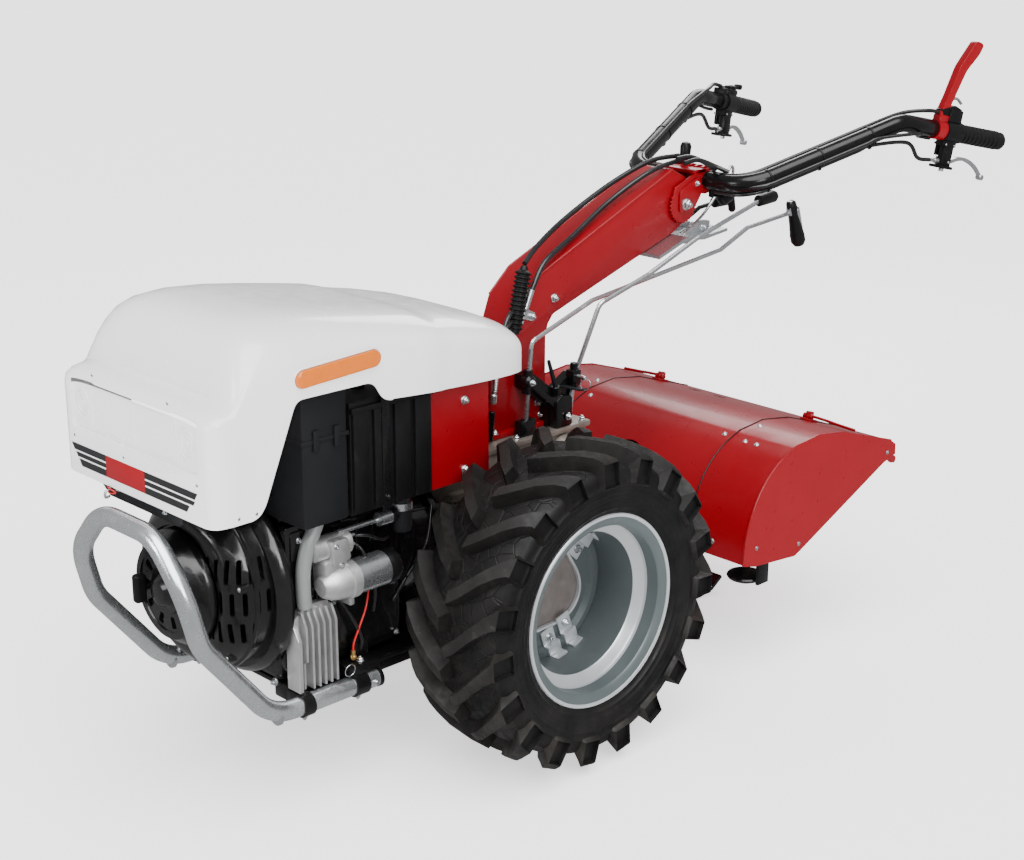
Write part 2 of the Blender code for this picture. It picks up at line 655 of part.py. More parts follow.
# ---------------------------------------------------------------- column and controls
def column_outline(inset, bottom_z):
    """The column's side view, all walls moved in by inset."""
    front = COLUMN_FRONT_Y + inset
    rear = COLUMN_REAR_Y - inset
    return [(front, bottom_z), (front, 0.655 - inset), (0.118 + inset, 0.688 - inset * 0.4),
            (0.138 + inset, 0.740 - inset * 0.4), (0.190 + inset * 0.4, 0.786 - inset),
            (COLUMN_END_Y - 0.040, 0.932 - inset * 1.2), (COLUMN_END_Y - inset, 0.912 - inset * 0.6),
            (COLUMN_END_Y - inset, 0.825 + inset * 0.6), (COLUMN_END_Y - 0.030, 0.808 + inset * 1.2),
            (rear + 0.020, 0.704 + inset), (rear, 0.680 + inset * 0.4), (rear, bottom_z)]


def on_segment(start, end, y):
    """The height of the straight line from start to end at y."""
    return start[1] + (end[1] - start[1]) * (y - start[0]) / (end[0] - start[0])


def column_top_z(y):
    outline = column_outline(0, 0)
    return on_segment(outline[4], outline[5], y)


def column_underside_z(y):
    outline = column_outline(0, 0)
    return on_segment(outline[9], outline[8], y)


def build_column():
    base_z = CASE_TOP_Z + GAP
    half = COLUMN_WIDTH / 2
    column = prism("column", column_outline(0, base_z), "X", -half, half, bevel=0.003)
    inner = prism("cutter", column_outline(COLUMN_WALL, base_z - 0.02), "X", -half + COLUMN_WALL, half - COLUMN_WALL)
    place(combine(column, [inner], "DIFFERENCE"), "red_paint", "machine")

    hinge = prism("hood_hinge_bracket",
                  [(HOOD_HINGE_Y - 0.012, 0.640), (HOOD_HINGE_Y - 0.010, HOOD_HINGE_Z + 0.008),
                   (HOOD_HINGE_Y + 0.008, HOOD_HINGE_Z + 0.008), (HOOD_HINGE_Y + 0.012, HOOD_HINGE_Z - 0.024),
                   (COLUMN_FRONT_Y - GAP, 0.640), (COLUMN_FRONT_Y - GAP, 0.600)],
                  "X", -HINGE_HALF_WIDTH, HINGE_HALF_WIDTH)
    pin = cylinder("pin", "X", (0, HOOD_HINGE_Y, HOOD_HINGE_Z), -HINGE_PIN_HALF_LENGTH, HINGE_PIN_HALF_LENGTH,
                   HINGE_PIN_RADIUS, 16)
    place(combine(hinge, [pin]), "black_paint", "machine")

    side_x = COLUMN_WIDTH / 2 + GAP
    bracket = prism("selector_bracket",
                    [(0.188, base_z), (0.188, 0.540), (0.124, 0.588), (0.124, 0.612), (0.150, 0.612),
                     (0.206, 0.568), (0.250, 0.592), (0.276, 0.592), (0.276, 0.566), (0.224, 0.535),
                     (0.224, base_z)],
                    "X", side_x, side_x + 0.020)
    place(bracket, "black_paint", "machine")

    seat_start = column_underside_z(0.470) - GAP
    seat_end = column_underside_z(0.548) - GAP
    guide = prism("rod_guide",
                  [(0.470, seat_start), (0.548, seat_end), (0.600, 0.800), (0.668, 0.806), (0.668, 0.800),
                   (0.600, 0.793), (0.548, seat_end - 0.007), (0.470, seat_start - 0.007)],
                  "X", -0.030, 0.080)
    place(guide, "zinc", "machine")


def build_rods():
    """Selector rods run up the column's left side to their hand knobs."""
    rod_x = COLUMN_WIDTH / 2 + GAP + 0.020 + GAP + ROD_RADIUS
    gear_route = [(rod_x, 0.128, 0.512), (rod_x, 0.142, 0.672), (rod_x, 0.300, 0.722),
                  (rod_x + 0.020, 0.640, 0.768), (rod_x + 0.020, 0.720, 0.800), (rod_x + 0.022, 0.860, 0.812)]
    gear_rod = tube_mesh("gear_rod", bent_path(gear_route, 0.018, 4), ROD_RADIUS, 2)
    knob_a = turned(cylinder("knob", "Z", (rod_x + 0.022, 0.866, 0), 0.745, 0.822, 0.012, 12, chamfer=0.004),
                    about((rod_x + 0.022, 0.866, 0.812), "X", 18))
    place(combine(gear_rod, [knob_a]), "zinc", "machine")

    outer_x = rod_x + 0.030
    range_route = [(rod_x, 0.236, 0.520), (rod_x, 0.260, 0.596), (outer_x - 0.002, 0.290, 0.722),
                   (outer_x, 0.420, 0.756), (outer_x, 0.560, 0.806), (outer_x, 0.742, 0.852)]
    range_rod = tube_mesh("range_rod", bent_path(range_route, 0.018, 4), ROD_RADIUS, 2)
    knob_b = cylinder("knob", "Y", (outer_x, 0, 0.854), 0.738, 0.784, 0.010, 12, chamfer=0.004)
    place(combine(range_rod, [knob_b]), "zinc", "machine")

    pto_x = -0.020
    pto_route = [(pto_x, 0.610, 0.8060), (pto_x, 0.660, 0.8104), (pto_x, 0.700, 0.828), (pto_x, 0.752, 0.832)]
    pto_lever = tube_mesh("pto_lever", bent_path(pto_route, 0.010, 3), ROD_RADIUS, 2)
    knob_c = cylinder("knob", "Y", (pto_x, 0, 0.832), 0.746, 0.790, 0.010, 12, chamfer=0.004)
    place(combine(pto_lever, [knob_c]), "black_plastic", "machine")


def bar_corners(side):
    return [(side * 0.150, BAR_CROSS_Y, BAR_CROSS_Z), (side * 0.262, 0.970, 1.000), (side * 0.318, 1.236, 0.940)]


def grip_frame(side):
    """The handlebar's end point and its direction there."""
    corners = [Vector(corner) for corner in bar_corners(side)]
    return corners[-1], (corners[-1] - corners[-2]).normalized()


def along_bar(obj, side):
    """Move a shape made along +Z, with +Y as its upper side, to the bar's end."""
    end, direction = grip_frame(side)
    up = (Vector((0, 0, 1)) - direction * direction.z).normalized()
    across = up.cross(direction)
    turn = Matrix((across, up, direction)).transposed().to_4x4()
    return turned(obj, Matrix.Translation(end) @ turn)


def build_handlebar():
    pivot_name = "handlebar_axis"
    corners = [*reversed(bar_corners(-1)), *bar_corners(1)]
    place(tube("handlebar", bent_path(corners, BAR_BEND_RADIUS, 5), BAR_RADIUS, 3), "black_paint", pivot_name)

    inner_x = COLUMN_WIDTH / 2 + GAP
    outer_x = inner_x + CHEEK_THICKNESS
    cheek_outline = [(PIVOT_Y - 0.034, PIVOT_Z - 0.020), (PIVOT_Y - 0.034, PIVOT_Z + 0.030),
                     (BAR_CROSS_Y - 0.024, BAR_CROSS_Z + 0.022), (BAR_CROSS_Y + 0.022, BAR_CROSS_Z + 0.022),
                     (BAR_CROSS_Y + 0.022, BAR_CROSS_Z - 0.024), (PIVOT_Y + 0.030, PIVOT_Z - 0.030),
                     (PIVOT_Y - 0.010, PIVOT_Z - 0.036)]
    clamp = prism("handlebar_clamp", cheek_outline, "X", -outer_x, outer_x)
    slot = box("slot", (-inner_x, 0.30, 0.70), (inner_x, BAR_CROSS_Y - 0.021, 1.1))
    bore = cylinder("bore", "X", (0, BAR_CROSS_Y, BAR_CROSS_Z), -0.1, 0.1, BAR_RADIUS + GAP)
    place(combine(clamp, [slot, bore], "DIFFERENCE"), "red_paint", pivot_name)

    for side, label in ((1, "left"), (-1, "right")):
        build_bar_end(side, label, pivot_name)


def build_bar_end(side, label, pivot_name):
    """The grip, the lever block inboard of it and the brake lever under it."""
    bore_radius = BAR_RADIUS + GAP
    grip = cylinder(label + "_grip", "Z", (0, 0, 0), -GRIP_LENGTH, 0.004, GRIP_RADIUS, chamfer=0.003)
    hole = cylinder("hole", "Z", (0, 0, 0), -GRIP_LENGTH - 0.01, GAP, bore_radius)
    place(along_bar(combine(grip, [hole], "DIFFERENCE"), side), "grip_rubber", pivot_name)

    block_length = 0.040
    block_start = -GRIP_LENGTH - GAP - block_length
    block = box(label + "_lever_block", (-0.022, -0.030, block_start), (0.022, 0.022, -GRIP_LENGTH - GAP),
                bevel=0.003)
    hole = cylinder("hole", "Z", (0, 0, 0), block_start - 0.01, 0.01, bore_radius)
    place(along_bar(combine(block, [hole], "DIFFERENCE"), side), "black_plastic", pivot_name)

    lever_radius = 0.0045
    lever_drop = -0.030 - GAP - lever_radius
    lever_route = [(0, lever_drop, block_start + 0.006), (0, lever_drop - 0.002, block_start + 0.034),
                   (0, lever_drop - 0.014, block_start + 0.066), (0, lever_drop - 0.016, block_start + 0.110),
                   (0, lever_drop - 0.008, block_start + 0.140)]
    lever = tube_mesh(label + "_brake_lever", smooth_path(lever_route, 3), lever_radius, 2)
    place(along_bar(lever, side), "zinc", pivot_name)

    if side > 0:
        start = block_start - GAP
        collar = box("dead_man_lever", (-0.019, -0.019, start - 0.024), (0.019, 0.019, start), bevel=0.003)
        blade = prism("blade", [(0.010, start - 0.022), (0.010, start - 0.004), (0.030, start - 0.003), (0.060, start + 0.012),
                                (0.120, start + 0.026), (0.176, start + 0.052), (0.180, start + 0.034),
                                (0.124, start + 0.002), (0.060, start - 0.014)],
                      "X", -0.006, 0.006, bevel=0.0015)
        hole = cylinder("hole", "Z", (0, 0, 0), start - 0.04, start + 0.01, bore_radius)
        combine(collar, [blade])
        place(along_bar(combine(collar, [hole], "DIFFERENCE"), side), "red_paint", pivot_name)
        return
    start = block_start - GAP
    switch = box("throttle_lever", (-0.016, -0.018, start - 0.020), (0.016, 0.030, start), bevel=0.003)
    hole = cylinder("hole", "Z", (0, 0, 0), start - 0.04, start + 0.01, bore_radius)
    place(along_bar(combine(switch, [hole], "DIFFERENCE"), side), "black_plastic", pivot_name)


def build_cables():
    """Control cables lie along the bars and down the column's front face."""
    radius = 0.0035
    for side, label in ((1, "left"), (-1, "right")):
        drop = Vector((0, 0, 1.02 * (BAR_RADIUS + GAP + radius)))
        bend, far_bend, end = (Vector(corner) for corner in bar_corners(side))
        corners = [(side * 0.066, BAR_CROSS_Y, BAR_CROSS_Z), bend, far_bend, far_bend.lerp(end, 0.28)]
        route = [point - drop for point in bent_path(corners, BAR_BEND_RADIUS, 4)]
        place(tube(label + "_bar_cable", route, radius, 2), "black_plastic", "handlebar_axis")

    cable_x = 0.018
    cable_radius = radius + 0.001
    lift = 1.1 * (cable_radius + GAP)
    route = [(cable_x, y, column_top_z(y) + lift) for y in (0.520, 0.400, 0.280, 0.215)]
    route += [(cable_x, 0.186, 0.7905), (cable_x, 0.160, 0.7695), (cable_x, 0.124, 0.7445)]
    place(tube("column_cable", smooth_path(route, 4), cable_radius, 2), "black_plastic", "machine")

    sleeve_radius = 0.010
    route = [(cable_x, 0.1225, 0.7430), (cable_x, 0.108, 0.718), (cable_x, 0.096, 0.690)]
    place(tube("cable_sleeve", smooth_path(route, 4), sleeve_radius, 2), "black_plastic", "machine")


# ---------------------------------------------------------------- tiller
def tiller_arc(inset):
    """The tiller cover's curved line from its lower front edge to its rear hinge edge."""
    return [(0.434 + inset, 0.236), (0.440 + inset, 0.290), (0.456 + inset * 0.95, 0.336 - inset * 0.3),
            (0.486 + inset * 0.8, 0.382 - inset * 0.6), (0.528 + inset * 0.5, 0.416 - inset * 0.9),
            (0.582 + inset * 0.3, 0.437 - inset), (0.650, 0.444 - inset), (0.730 - inset * 0.2, 0.430 - inset),
            (0.892 - inset * 0.2, 0.378 - inset)]


def cover_strip(name, low_x, high_x):
    outline = tiller_arc(0) + list(reversed(tiller_arc(SHEET)))
    return prism(name, outline, "X", low_x, high_x)


def build_tiller_cover():
    half = TILLER_MIDDLE_HALF_WIDTH
    middle = cover_strip("tiller_cover", -half, half)
    neck_hole = cylinder("neck_hole", "Y", (0, 0, NECK_Z), 0.30, 0.50, NECK_RADIUS + GAP, ROUND_SMALL)
    place(combine(middle, [neck_hole], "DIFFERENCE"), "red_paint", "machine")

    for side, label in ((1, "left"), (-1, "right")):
        inner_x = side * (half + GAP)
        outer_x = side * TILLER_HALF_WIDTH
        plate_x = outer_x - side * END_PLATE_THICKNESS
        strip = cover_strip(label + "_tiller_end", min(inner_x, outer_x), max(inner_x, outer_x))
        plate_outline = tiller_arc(0) + [(FLAP_HINGE_Y + 0.008, FLAP_HINGE_Z + 0.012),
                                         (FLAP_HINGE_Y + 0.009, FLAP_HINGE_Z - 0.008), (0.870, 0.338),
                                         (0.606, 0.221), (0.590, 0.214), (0.470, 0.226)]
        plate = prism("plate", plate_outline, "X", min(plate_x, outer_x), max(plate_x, outer_x))
        place(combine(strip, [plate]), "red_paint", "machine")


def build_tiller_drive():
    half = GEAR_CASE_HALF_WIDTH
    neck_start = CASE_REAR_Y + GAP
    case = revolve("tiller_gear_case",
                   [(neck_start, 0), (neck_start, NECK_RADIUS + 0.018), (neck_start + 0.016, NECK_RADIUS + 0.018),
                    (neck_start + 0.016, NECK_RADIUS), (0.455, NECK_RADIUS), (0.455, 0)],
                   "Y", (0, 0, NECK_Z))
    body = prism("body",
                 [(0.446, 0.294), (0.446, 0.350), (0.530, 0.385), (0.640, 0.372), (0.672, 0.300),
                  (0.656, 0.236), (0.622, GEAR_CASE_BOTTOM_Z), (0.580, GEAR_CASE_BOTTOM_Z), (0.545, 0.216)],
                 "X", -half, half, bevel=0.006)
    seat_front, seat_rear = tiller_arc(SHEET + GAP)[5:7]
    saddle = prism("saddle", [(seat_front[0], 0.360), seat_front, seat_rear, (seat_rear[0], 0.350)],
                   "X", -0.030, 0.030)
    place(combine(case, [body, saddle]), "red_paint", "machine")

    foot = SKID_WIDTH / 2
    strut_top = GEAR_CASE_BOTTOM_Z - GAP
    skid = prism("depth_skid",
                 [(0.470, 0.030), (0.500, 0.004), (0.540, 0.0), (0.690, 0.0), (0.730, 0.006), (0.760, 0.026),
                  (0.756, 0.032), (0.728, 0.014), (0.690, 0.008), (0.634, 0.008), (0.618, strut_top),
                  (0.586, strut_top), (0.576, 0.008), (0.540, 0.008), (0.506, 0.012), (0.476, 0.036)],
                 "X", -foot, foot)
    place(skid, "black_paint", "machine")


def build_rotor():
    """Two half rotors on one shaft line, each with bolted flanges and L-shaped hoes."""
    centre = (0, ROTOR_Y, ROTOR_Z)
    tine_reach = 0.038
    arm_half = 0.011
    tip_half = 0.013
    arm_thickness = 0.007
    for side, label in ((1, "left"), (-1, "right")):
        low, high = sorted((side * (GEAR_CASE_HALF_WIDTH + GAP), side * 0.322))
        rotor = cylinder(label + "_rotor", "X", centre, low, high, ROTOR_SHAFT_RADIUS, 16)
        parts = []
        for row, flange_x in enumerate((0.095, 0.190, 0.285)):
            x = side * flange_x
            parts.append(cylinder("flange", "X", centre, x - 0.004, x + 0.004, 0.055, 16))
            for k in range(4):
                outward = 1 if k % 2 else -1
                tip_low, tip_high = sorted((x - outward * 0.005, x + outward * tine_reach))
                arm = box("arm", (x - arm_thickness / 2, ROTOR_Y - arm_half, ROTOR_Z + 0.040),
                          (x + arm_thickness / 2, ROTOR_Y + arm_half, ROTOR_Z + ROTOR_RADIUS - 0.003))
                tip = box("tip", (tip_low, ROTOR_Y - tip_half, ROTOR_Z + ROTOR_RADIUS - 0.006),
                          (tip_high, ROTOR_Y + tip_half, ROTOR_Z + ROTOR_RADIUS))
                turn = about(centre, "X", 90 * k + 30 * row)
                parts += [turned(arm, turn), turned(tip, turn)]
        place(combine(rotor, parts), "black_paint", "rotor_axis")


def build_flap():
    half = TILLER_HALF_WIDTH - END_PLATE_THICKNESS - GAP
    outline = [(FLAP_HINGE_Y, FLAP_HINGE_Z + 0.003), (0.886, 0.3465), (0.680, 0.2495), (0.6813, 0.2468),
               (0.8873, 0.3438), (FLAP_HINGE_Y + 0.001, FLAP_HINGE_Z)]
    flap = prism("rear_flap", outline, "X", -half + 0.001, half - 0.001)
    barrel = cylinder("barrel", "X", (0, FLAP_HINGE_Y, FLAP_HINGE_Z), -half, half, FLAP_BARREL_RADIUS, 16)
    place(combine(flap, [barrel]), "red_paint", "flap_axis")


def main():
    clear_scene()
    machine = add_pivot("machine", (0, AXLE_TO_CENTRE_Y, 0))
    add_pivot("left_wheel_axis", (WHEEL_CENTRE_X, 0, WHEEL_RADIUS), machine)
    add_pivot("right_wheel_axis", (-WHEEL_CENTRE_X, 0, WHEEL_RADIUS), machine)
    add_pivot("hood_axis", (0, HOOD_HINGE_Y, HOOD_HINGE_Z), machine)
    add_pivot("handlebar_axis", (0, PIVOT_Y, PIVOT_Z), machine)
    add_pivot("rotor_axis", (0, ROTOR_Y, ROTOR_Z), machine)
    add_pivot("flap_axis", (0, FLAP_HINGE_Y, FLAP_HINGE_Z), machine)
    build_wheel(1, "left")
    build_wheel(-1, "right")
    build_transmission()
    build_engine()
    build_engine_fittings()
    build_under_hood()
    build_bumper()
    build_hood()
    build_column()
    build_rods()
    build_handlebar()
    build_cables()
    build_tiller_cover()
    build_tiller_drive()
    build_rotor()
    build_flap()


main()
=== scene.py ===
"""Walking tractor with a rear tiller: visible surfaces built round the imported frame.

Metres. +X is the machine's left, -Y is forward, +Z is up. Places are measured from the wheel
axle's line with at(), and the axle's place is read from the frame.
"""

import math

import bmesh
import bpy
from mathutils import Matrix, Vector


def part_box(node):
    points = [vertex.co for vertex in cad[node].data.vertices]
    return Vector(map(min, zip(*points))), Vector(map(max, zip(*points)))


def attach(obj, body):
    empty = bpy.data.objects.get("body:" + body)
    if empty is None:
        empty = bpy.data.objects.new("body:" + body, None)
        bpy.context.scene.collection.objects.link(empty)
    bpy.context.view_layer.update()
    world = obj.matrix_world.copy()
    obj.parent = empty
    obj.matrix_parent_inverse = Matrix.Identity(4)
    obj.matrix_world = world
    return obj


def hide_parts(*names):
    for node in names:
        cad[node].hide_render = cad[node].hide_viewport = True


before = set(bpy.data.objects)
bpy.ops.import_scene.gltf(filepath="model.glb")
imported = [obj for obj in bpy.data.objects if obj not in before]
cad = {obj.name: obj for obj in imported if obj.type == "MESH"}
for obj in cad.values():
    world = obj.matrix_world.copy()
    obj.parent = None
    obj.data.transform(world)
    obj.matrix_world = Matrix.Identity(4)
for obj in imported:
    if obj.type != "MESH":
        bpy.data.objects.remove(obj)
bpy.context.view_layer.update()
SIDES = ((1, "left"), (-1, "right"))


def middle(node):
    """The middle of a node's box."""
    low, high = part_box(node)
    return (low + high) / 2


AXLE_Y = middle("left_hub").y
WHEEL_RADIUS = middle("left_tyre").z


def at(x, y, z):
    """A point measured from the axle's line on the ground, in the frame's coordinates."""
    return Vector((x, y + AXLE_Y, z))


# ---------------------------------------------------------------- materials
def mix_colors(graph, factor, first, second, blend="MIX"):
    """A colour mix node; factor, first and second are sockets or values."""
    node = graph.nodes.new("ShaderNodeMix")
    node.data_type = "RGBA"
    node.blend_type = blend
    for socket, value in ((node.inputs[0], factor), (node.inputs[6], first), (node.inputs[7], second)):
        if isinstance(value, bpy.types.NodeSocket):
            graph.links.new(value, socket)
        elif isinstance(value, (int, float)):
            socket.default_value = value
        else:
            socket.default_value = (*value, 1.0)
    return node.outputs[2]


def noise(graph, coords, scale, detail=3.0, stretch=None):
    """A noise texture's value, read in metres; stretch slows it along some axes."""
    if stretch is not None:
        mapping = graph.nodes.new("ShaderNodeMapping")
        mapping.inputs["Scale"].default_value = stretch
        graph.links.new(coords, mapping.inputs["Vector"])
        coords = mapping.outputs[0]
    node = graph.nodes.new("ShaderNodeTexNoise")
    node.inputs["Scale"].default_value = scale
    node.inputs["Detail"].default_value = detail
    graph.links.new(coords, node.inputs["Vector"])
    return node.outputs[0]


def spread(graph, value, low_in, high_in, low_out, high_out):
    """Map a value's range onto another, held at its ends."""
    node = graph.nodes.new("ShaderNodeMapRange")
    for socket, number in zip(node.inputs[1:5], (low_in, high_in, low_out, high_out)):
        socket.default_value = number
    graph.links.new(value, node.inputs[0])
    return node.outputs[0]


def multiply(graph, first, second):
    """A multiply node's output."""
    node = graph.nodes.new("ShaderNodeMath")
    node.operation = "MULTIPLY"
    for socket, value in zip(node.inputs, (first, second)):
        if isinstance(value, bpy.types.NodeSocket):
            graph.links.new(value, socket)
        else:
            socket.default_value = value
    return node.outputs[0]


def scaled(color, amount):
    """A colour made darker or lighter."""
    return tuple(min(1.0, part * amount) for part in color)


def surface(name, color, roughness, metallic=0.0, coat=0.0, mottle=0.07, mottle_scale=9.0, grain=0.1,
            grain_scale=420.0, rough_spread=0.06, wear=0.0, wear_color=(0.35, 0.35, 0.35), stretch=None,
            dust=0.0, dust_color=(0.20, 0.17, 0.14), cracks=0.0, cast=0.0,
            specular=0.5):
    """A finish made of mottled colour, worn specks, dust near the ground, grain and uneven gloss."""
    material = bpy.data.materials.new(name)
    material.use_nodes = True
    graph = material.node_tree
    shader = graph.nodes["Principled BSDF"]
    shader.inputs["Metallic"].default_value = metallic
    shader.inputs["Coat Weight"].default_value = coat
    shader.inputs["Coat Roughness"].default_value = 0.04
    shader.inputs["Specular IOR Level"].default_value = specular
    coords = graph.nodes.new("ShaderNodeTexCoord").outputs["Object"]

    clouds = noise(graph, coords, mottle_scale, 4.0, stretch)
    tone = mix_colors(graph, spread(graph, clouds, 0.3, 0.7, 0.0, 1.0),
                      scaled(color, 1 - mottle), scaled(color, 1 + mottle))
    if wear > 0:
        specks = noise(graph, coords, 85.0, 8.0)
        patches = noise(graph, coords, 7.0, 2.0)
        worn = multiply(graph, spread(graph, specks, 0.60, 0.68, 0.0, wear),
                        spread(graph, patches, 0.42, 0.62, 0.0, 1.0))
        tone = mix_colors(graph, worn, tone, wear_color)
    if dust > 0:
        split = graph.nodes.new("ShaderNodeSeparateXYZ")
        graph.links.new(coords, split.inputs[0])
        low = spread(graph, split.outputs[2], 0.0, 0.42, dust, dust * 0.25)
        settled = multiply(graph, low, spread(graph, noise(graph, coords, 22.0, 6.0), 0.35, 0.75, 0.0, 1.0))
        tone = mix_colors(graph, settled, tone, dust_color)
    graph.links.new(tone, shader.inputs["Base Color"])

    polish = noise(graph, coords, mottle_scale * 4, 3.0, stretch)
    graph.links.new(spread(graph, polish, 0.3, 0.7, max(0.02, roughness - rough_spread),
                           min(1.0, roughness + rough_spread)), shader.inputs["Roughness"])

    bump = graph.nodes.new("ShaderNodeBump")
    bump.inputs["Strength"].default_value = grain
    bump.inputs["Distance"].default_value = 0.001
    graph.links.new(noise(graph, coords, grain_scale, 4.0, stretch), bump.inputs["Height"])
    last = bump
    if cast > 0:
        lumps = graph.nodes.new("ShaderNodeBump")
        lumps.inputs["Strength"].default_value = cast
        lumps.inputs["Distance"].default_value = 0.002
        graph.links.new(noise(graph, coords, 70.0, 5.0), lumps.inputs["Height"])
        graph.links.new(bump.outputs[0], lumps.inputs["Normal"])
        last = lumps
    if cracks > 0:
        cells = graph.nodes.new("ShaderNodeTexVoronoi")
        cells.feature = "DISTANCE_TO_EDGE"
        cells.inputs["Scale"].default_value = 34.0
        graph.links.new(coords, cells.inputs["Vector"])
        lines = graph.nodes.new("ShaderNodeBump")
        lines.inputs["Strength"].default_value = cracks
        lines.inputs["Distance"].default_value = 0.0015
        graph.links.new(spread(graph, cells.outputs["Distance"], 0.0, 0.05, 0.0, 1.0), lines.inputs["Height"])
        graph.links.new(last.outputs[0], lines.inputs["Normal"])
        last = lines
    graph.links.new(last.outputs[0], shader.inputs["Normal"])
    return material


HOOD_WHITE = surface("hood_white", (0.90, 0.905, 0.905), 0.22, coat=0.4, mottle=0.015, grain=0.03,
                     grain_scale=220, wear=0.02, wear_color=(0.6, 0.6, 0.58))
RED = surface("red_paint", (0.215, 0.0006, 0.0050), 0.30, coat=0.10, specular=0.28, mottle=0.04, grain=0.03,
              grain_scale=260, rough_spread=0.03, dust=0.006)
BLACK = surface("black_paint", (0.0032, 0.0032, 0.0036), 0.22, coat=0.12, specular=0.30, mottle=0.25,
                grain=0.10, grain_scale=300, wear=0.10, wear_color=(0.03, 0.03, 0.03), dust=0.03)
BLACK_CAST = surface("black_casting", (0.0030, 0.0030, 0.0034), 0.20, coat=0.35, mottle=0.3, grain=0.18,
                     grain_scale=500, cast=0.18, wear=0.08, wear_color=(0.03, 0.03, 0.03), dust=0.03)
BLACK_PLASTIC = surface("black_plastic", (0.0045, 0.0045, 0.005), 0.34, specular=0.25, mottle=0.2, grain=0.16,
                        grain_scale=900, wear=0.08, wear_color=(0.05, 0.05, 0.05))
DARK_PLASTIC = surface("dark_plastic", (0.0085, 0.009, 0.010), 0.50, specular=0.2, mottle=0.12, grain=0.22,
                       grain_scale=1100, rough_spread=0.08)
TYRE = surface("tyre_rubber", (0.0045, 0.0046, 0.0050), 0.46, specular=0.22, mottle=0.30, mottle_scale=14,
               grain=0.25,
               grain_scale=520, rough_spread=0.12, wear=0.12, wear_color=(0.03, 0.027, 0.024), dust=0.06)
TREAD = surface("tread_rubber", (0.0050, 0.0050, 0.0050), 0.52, specular=0.22, mottle=0.35, mottle_scale=14,
                grain=0.30,
                grain_scale=520, rough_spread=0.14, wear=0.20, wear_color=(0.04, 0.035, 0.030), dust=0.10,
                cracks=0.55)
LUG = surface("tyre_lugs", (0.0075, 0.0071, 0.0068), 0.54, specular=0.25, mottle=0.35, mottle_scale=20,
              grain=0.35,
              grain_scale=480, rough_spread=0.12, wear=0.25, wear_color=(0.05, 0.042, 0.034), dust=0.12)
RUBBER = surface("grip_rubber", (0.005, 0.005, 0.0055), 0.44, specular=0.25, mottle=0.2, grain=0.25,
                 grain_scale=800, wear=0.08, wear_color=(0.05, 0.05, 0.05))
# The rim's one metal in two copies: this bright one is painted highlight on the lips, bands, disc edge and
# disc lugs; the dark one below is painted shade in the well and on the disc plate.
RIM_PAINTED_HIGHLIGHT = surface("rim_silver", (0.56, 0.58, 0.60), 0.34, metallic=0.55, coat=0.15, mottle=0.05,
                     grain=0.10, grain_scale=600, wear=0.10, wear_color=(0.30, 0.29, 0.27), dust=0.05)
RIM_PAINTED_SHADE = surface("rim_well_painted_shade", (0.095, 0.115, 0.118), 0.40, metallic=0.35, coat=0.1, mottle=0.08, grain=0.12,
                   grain_scale=520, wear=0.10, wear_color=(0.22, 0.22, 0.21), dust=0.06)
HUB_BROWN = surface("hub_casting", (0.165, 0.145, 0.138), 0.50, metallic=0.25, mottle=0.18, mottle_scale=40,
                    grain=0.25, grain_scale=300, cast=0.2, wear=0.25, wear_color=(0.09, 0.07, 0.06))
ZINC = surface("zinc", (0.66, 0.68, 0.70), 0.27, metallic=0.95, mottle=0.02, mottle_scale=12, grain=0.015,
               grain_scale=500, rough_spread=0.02)
ZINC_TUBE = surface("zinc_tube", (0.74, 0.775, 0.785), 0.24, metallic=0.92, mottle=0.07, mottle_scale=18,
                    grain=0.04, grain_scale=360, rough_spread=0.06, wear=0.02, wear_color=(0.45, 0.50, 0.48))
ALUMINIUM = surface("cast_aluminium", (0.60, 0.60, 0.60), 0.42, metallic=0.85, mottle=0.10, mottle_scale=40,
                    grain=0.35, grain_scale=650, cast=0.12, rough_spread=0.10, wear=0.12,
                    wear_color=(0.25, 0.24, 0.23))
CASTING = surface("gearbox_casting", (0.215, 0.185, 0.160), 0.44, metallic=0.55, mottle=0.22, mottle_scale=26,
                  grain=0.35, grain_scale=380, cast=0.30, rough_spread=0.12, wear=0.25,
                  wear_color=(0.10, 0.08, 0.065), dust=0.10)
DUCT_GREY = surface("grey_duct", (0.24, 0.25, 0.25), 0.36, metallic=0.35, mottle=0.08, grain=0.10,
                    wear=0.08, wear_color=(0.14, 0.14, 0.14))
STEEL = surface("heated_steel", (0.34, 0.32, 0.30), 0.40, metallic=0.9, mottle=0.18, mottle_scale=22,
                grain=0.12, rough_spread=0.10, wear=0.15, wear_color=(0.20, 0.13, 0.08))
BRASS = surface("brass", (0.62, 0.42, 0.16), 0.30, metallic=0.9, mottle=0.10, grain=0.06)
AMBER = surface("amber_lens", (0.62, 0.135, 0.0015), 0.20, coat=0.4, mottle=0.05, mottle_scale=60, grain=0.05,
                grain_scale=400)
RED_PLATE = surface("red_plate", (0.26, 0.0010, 0.0060), 0.35, specular=0.3, mottle=0.04, grain=0.05)
BLACK_PLATE = surface("black_plate", (0.012, 0.012, 0.013), 0.34, mottle=0.1, grain=0.06)
CABLE = surface("cable_sheath", (0.009, 0.009, 0.010), 0.30, coat=0.25, mottle=0.2, grain=0.12,
                grain_scale=700)
RED_WIRE = surface("red_wire", (0.50, 0.01, 0.01), 0.35, mottle=0.1, grain=0.1)
# Painted shade: black standing in for the dark inside of openings, on the cover's slots; also the finish of
# the cut tools, which are removed.
SLOT_SHADE = surface("painted_slot_shade", (0.004, 0.004, 0.004), 0.65, mottle=0.2, grain=0.2)


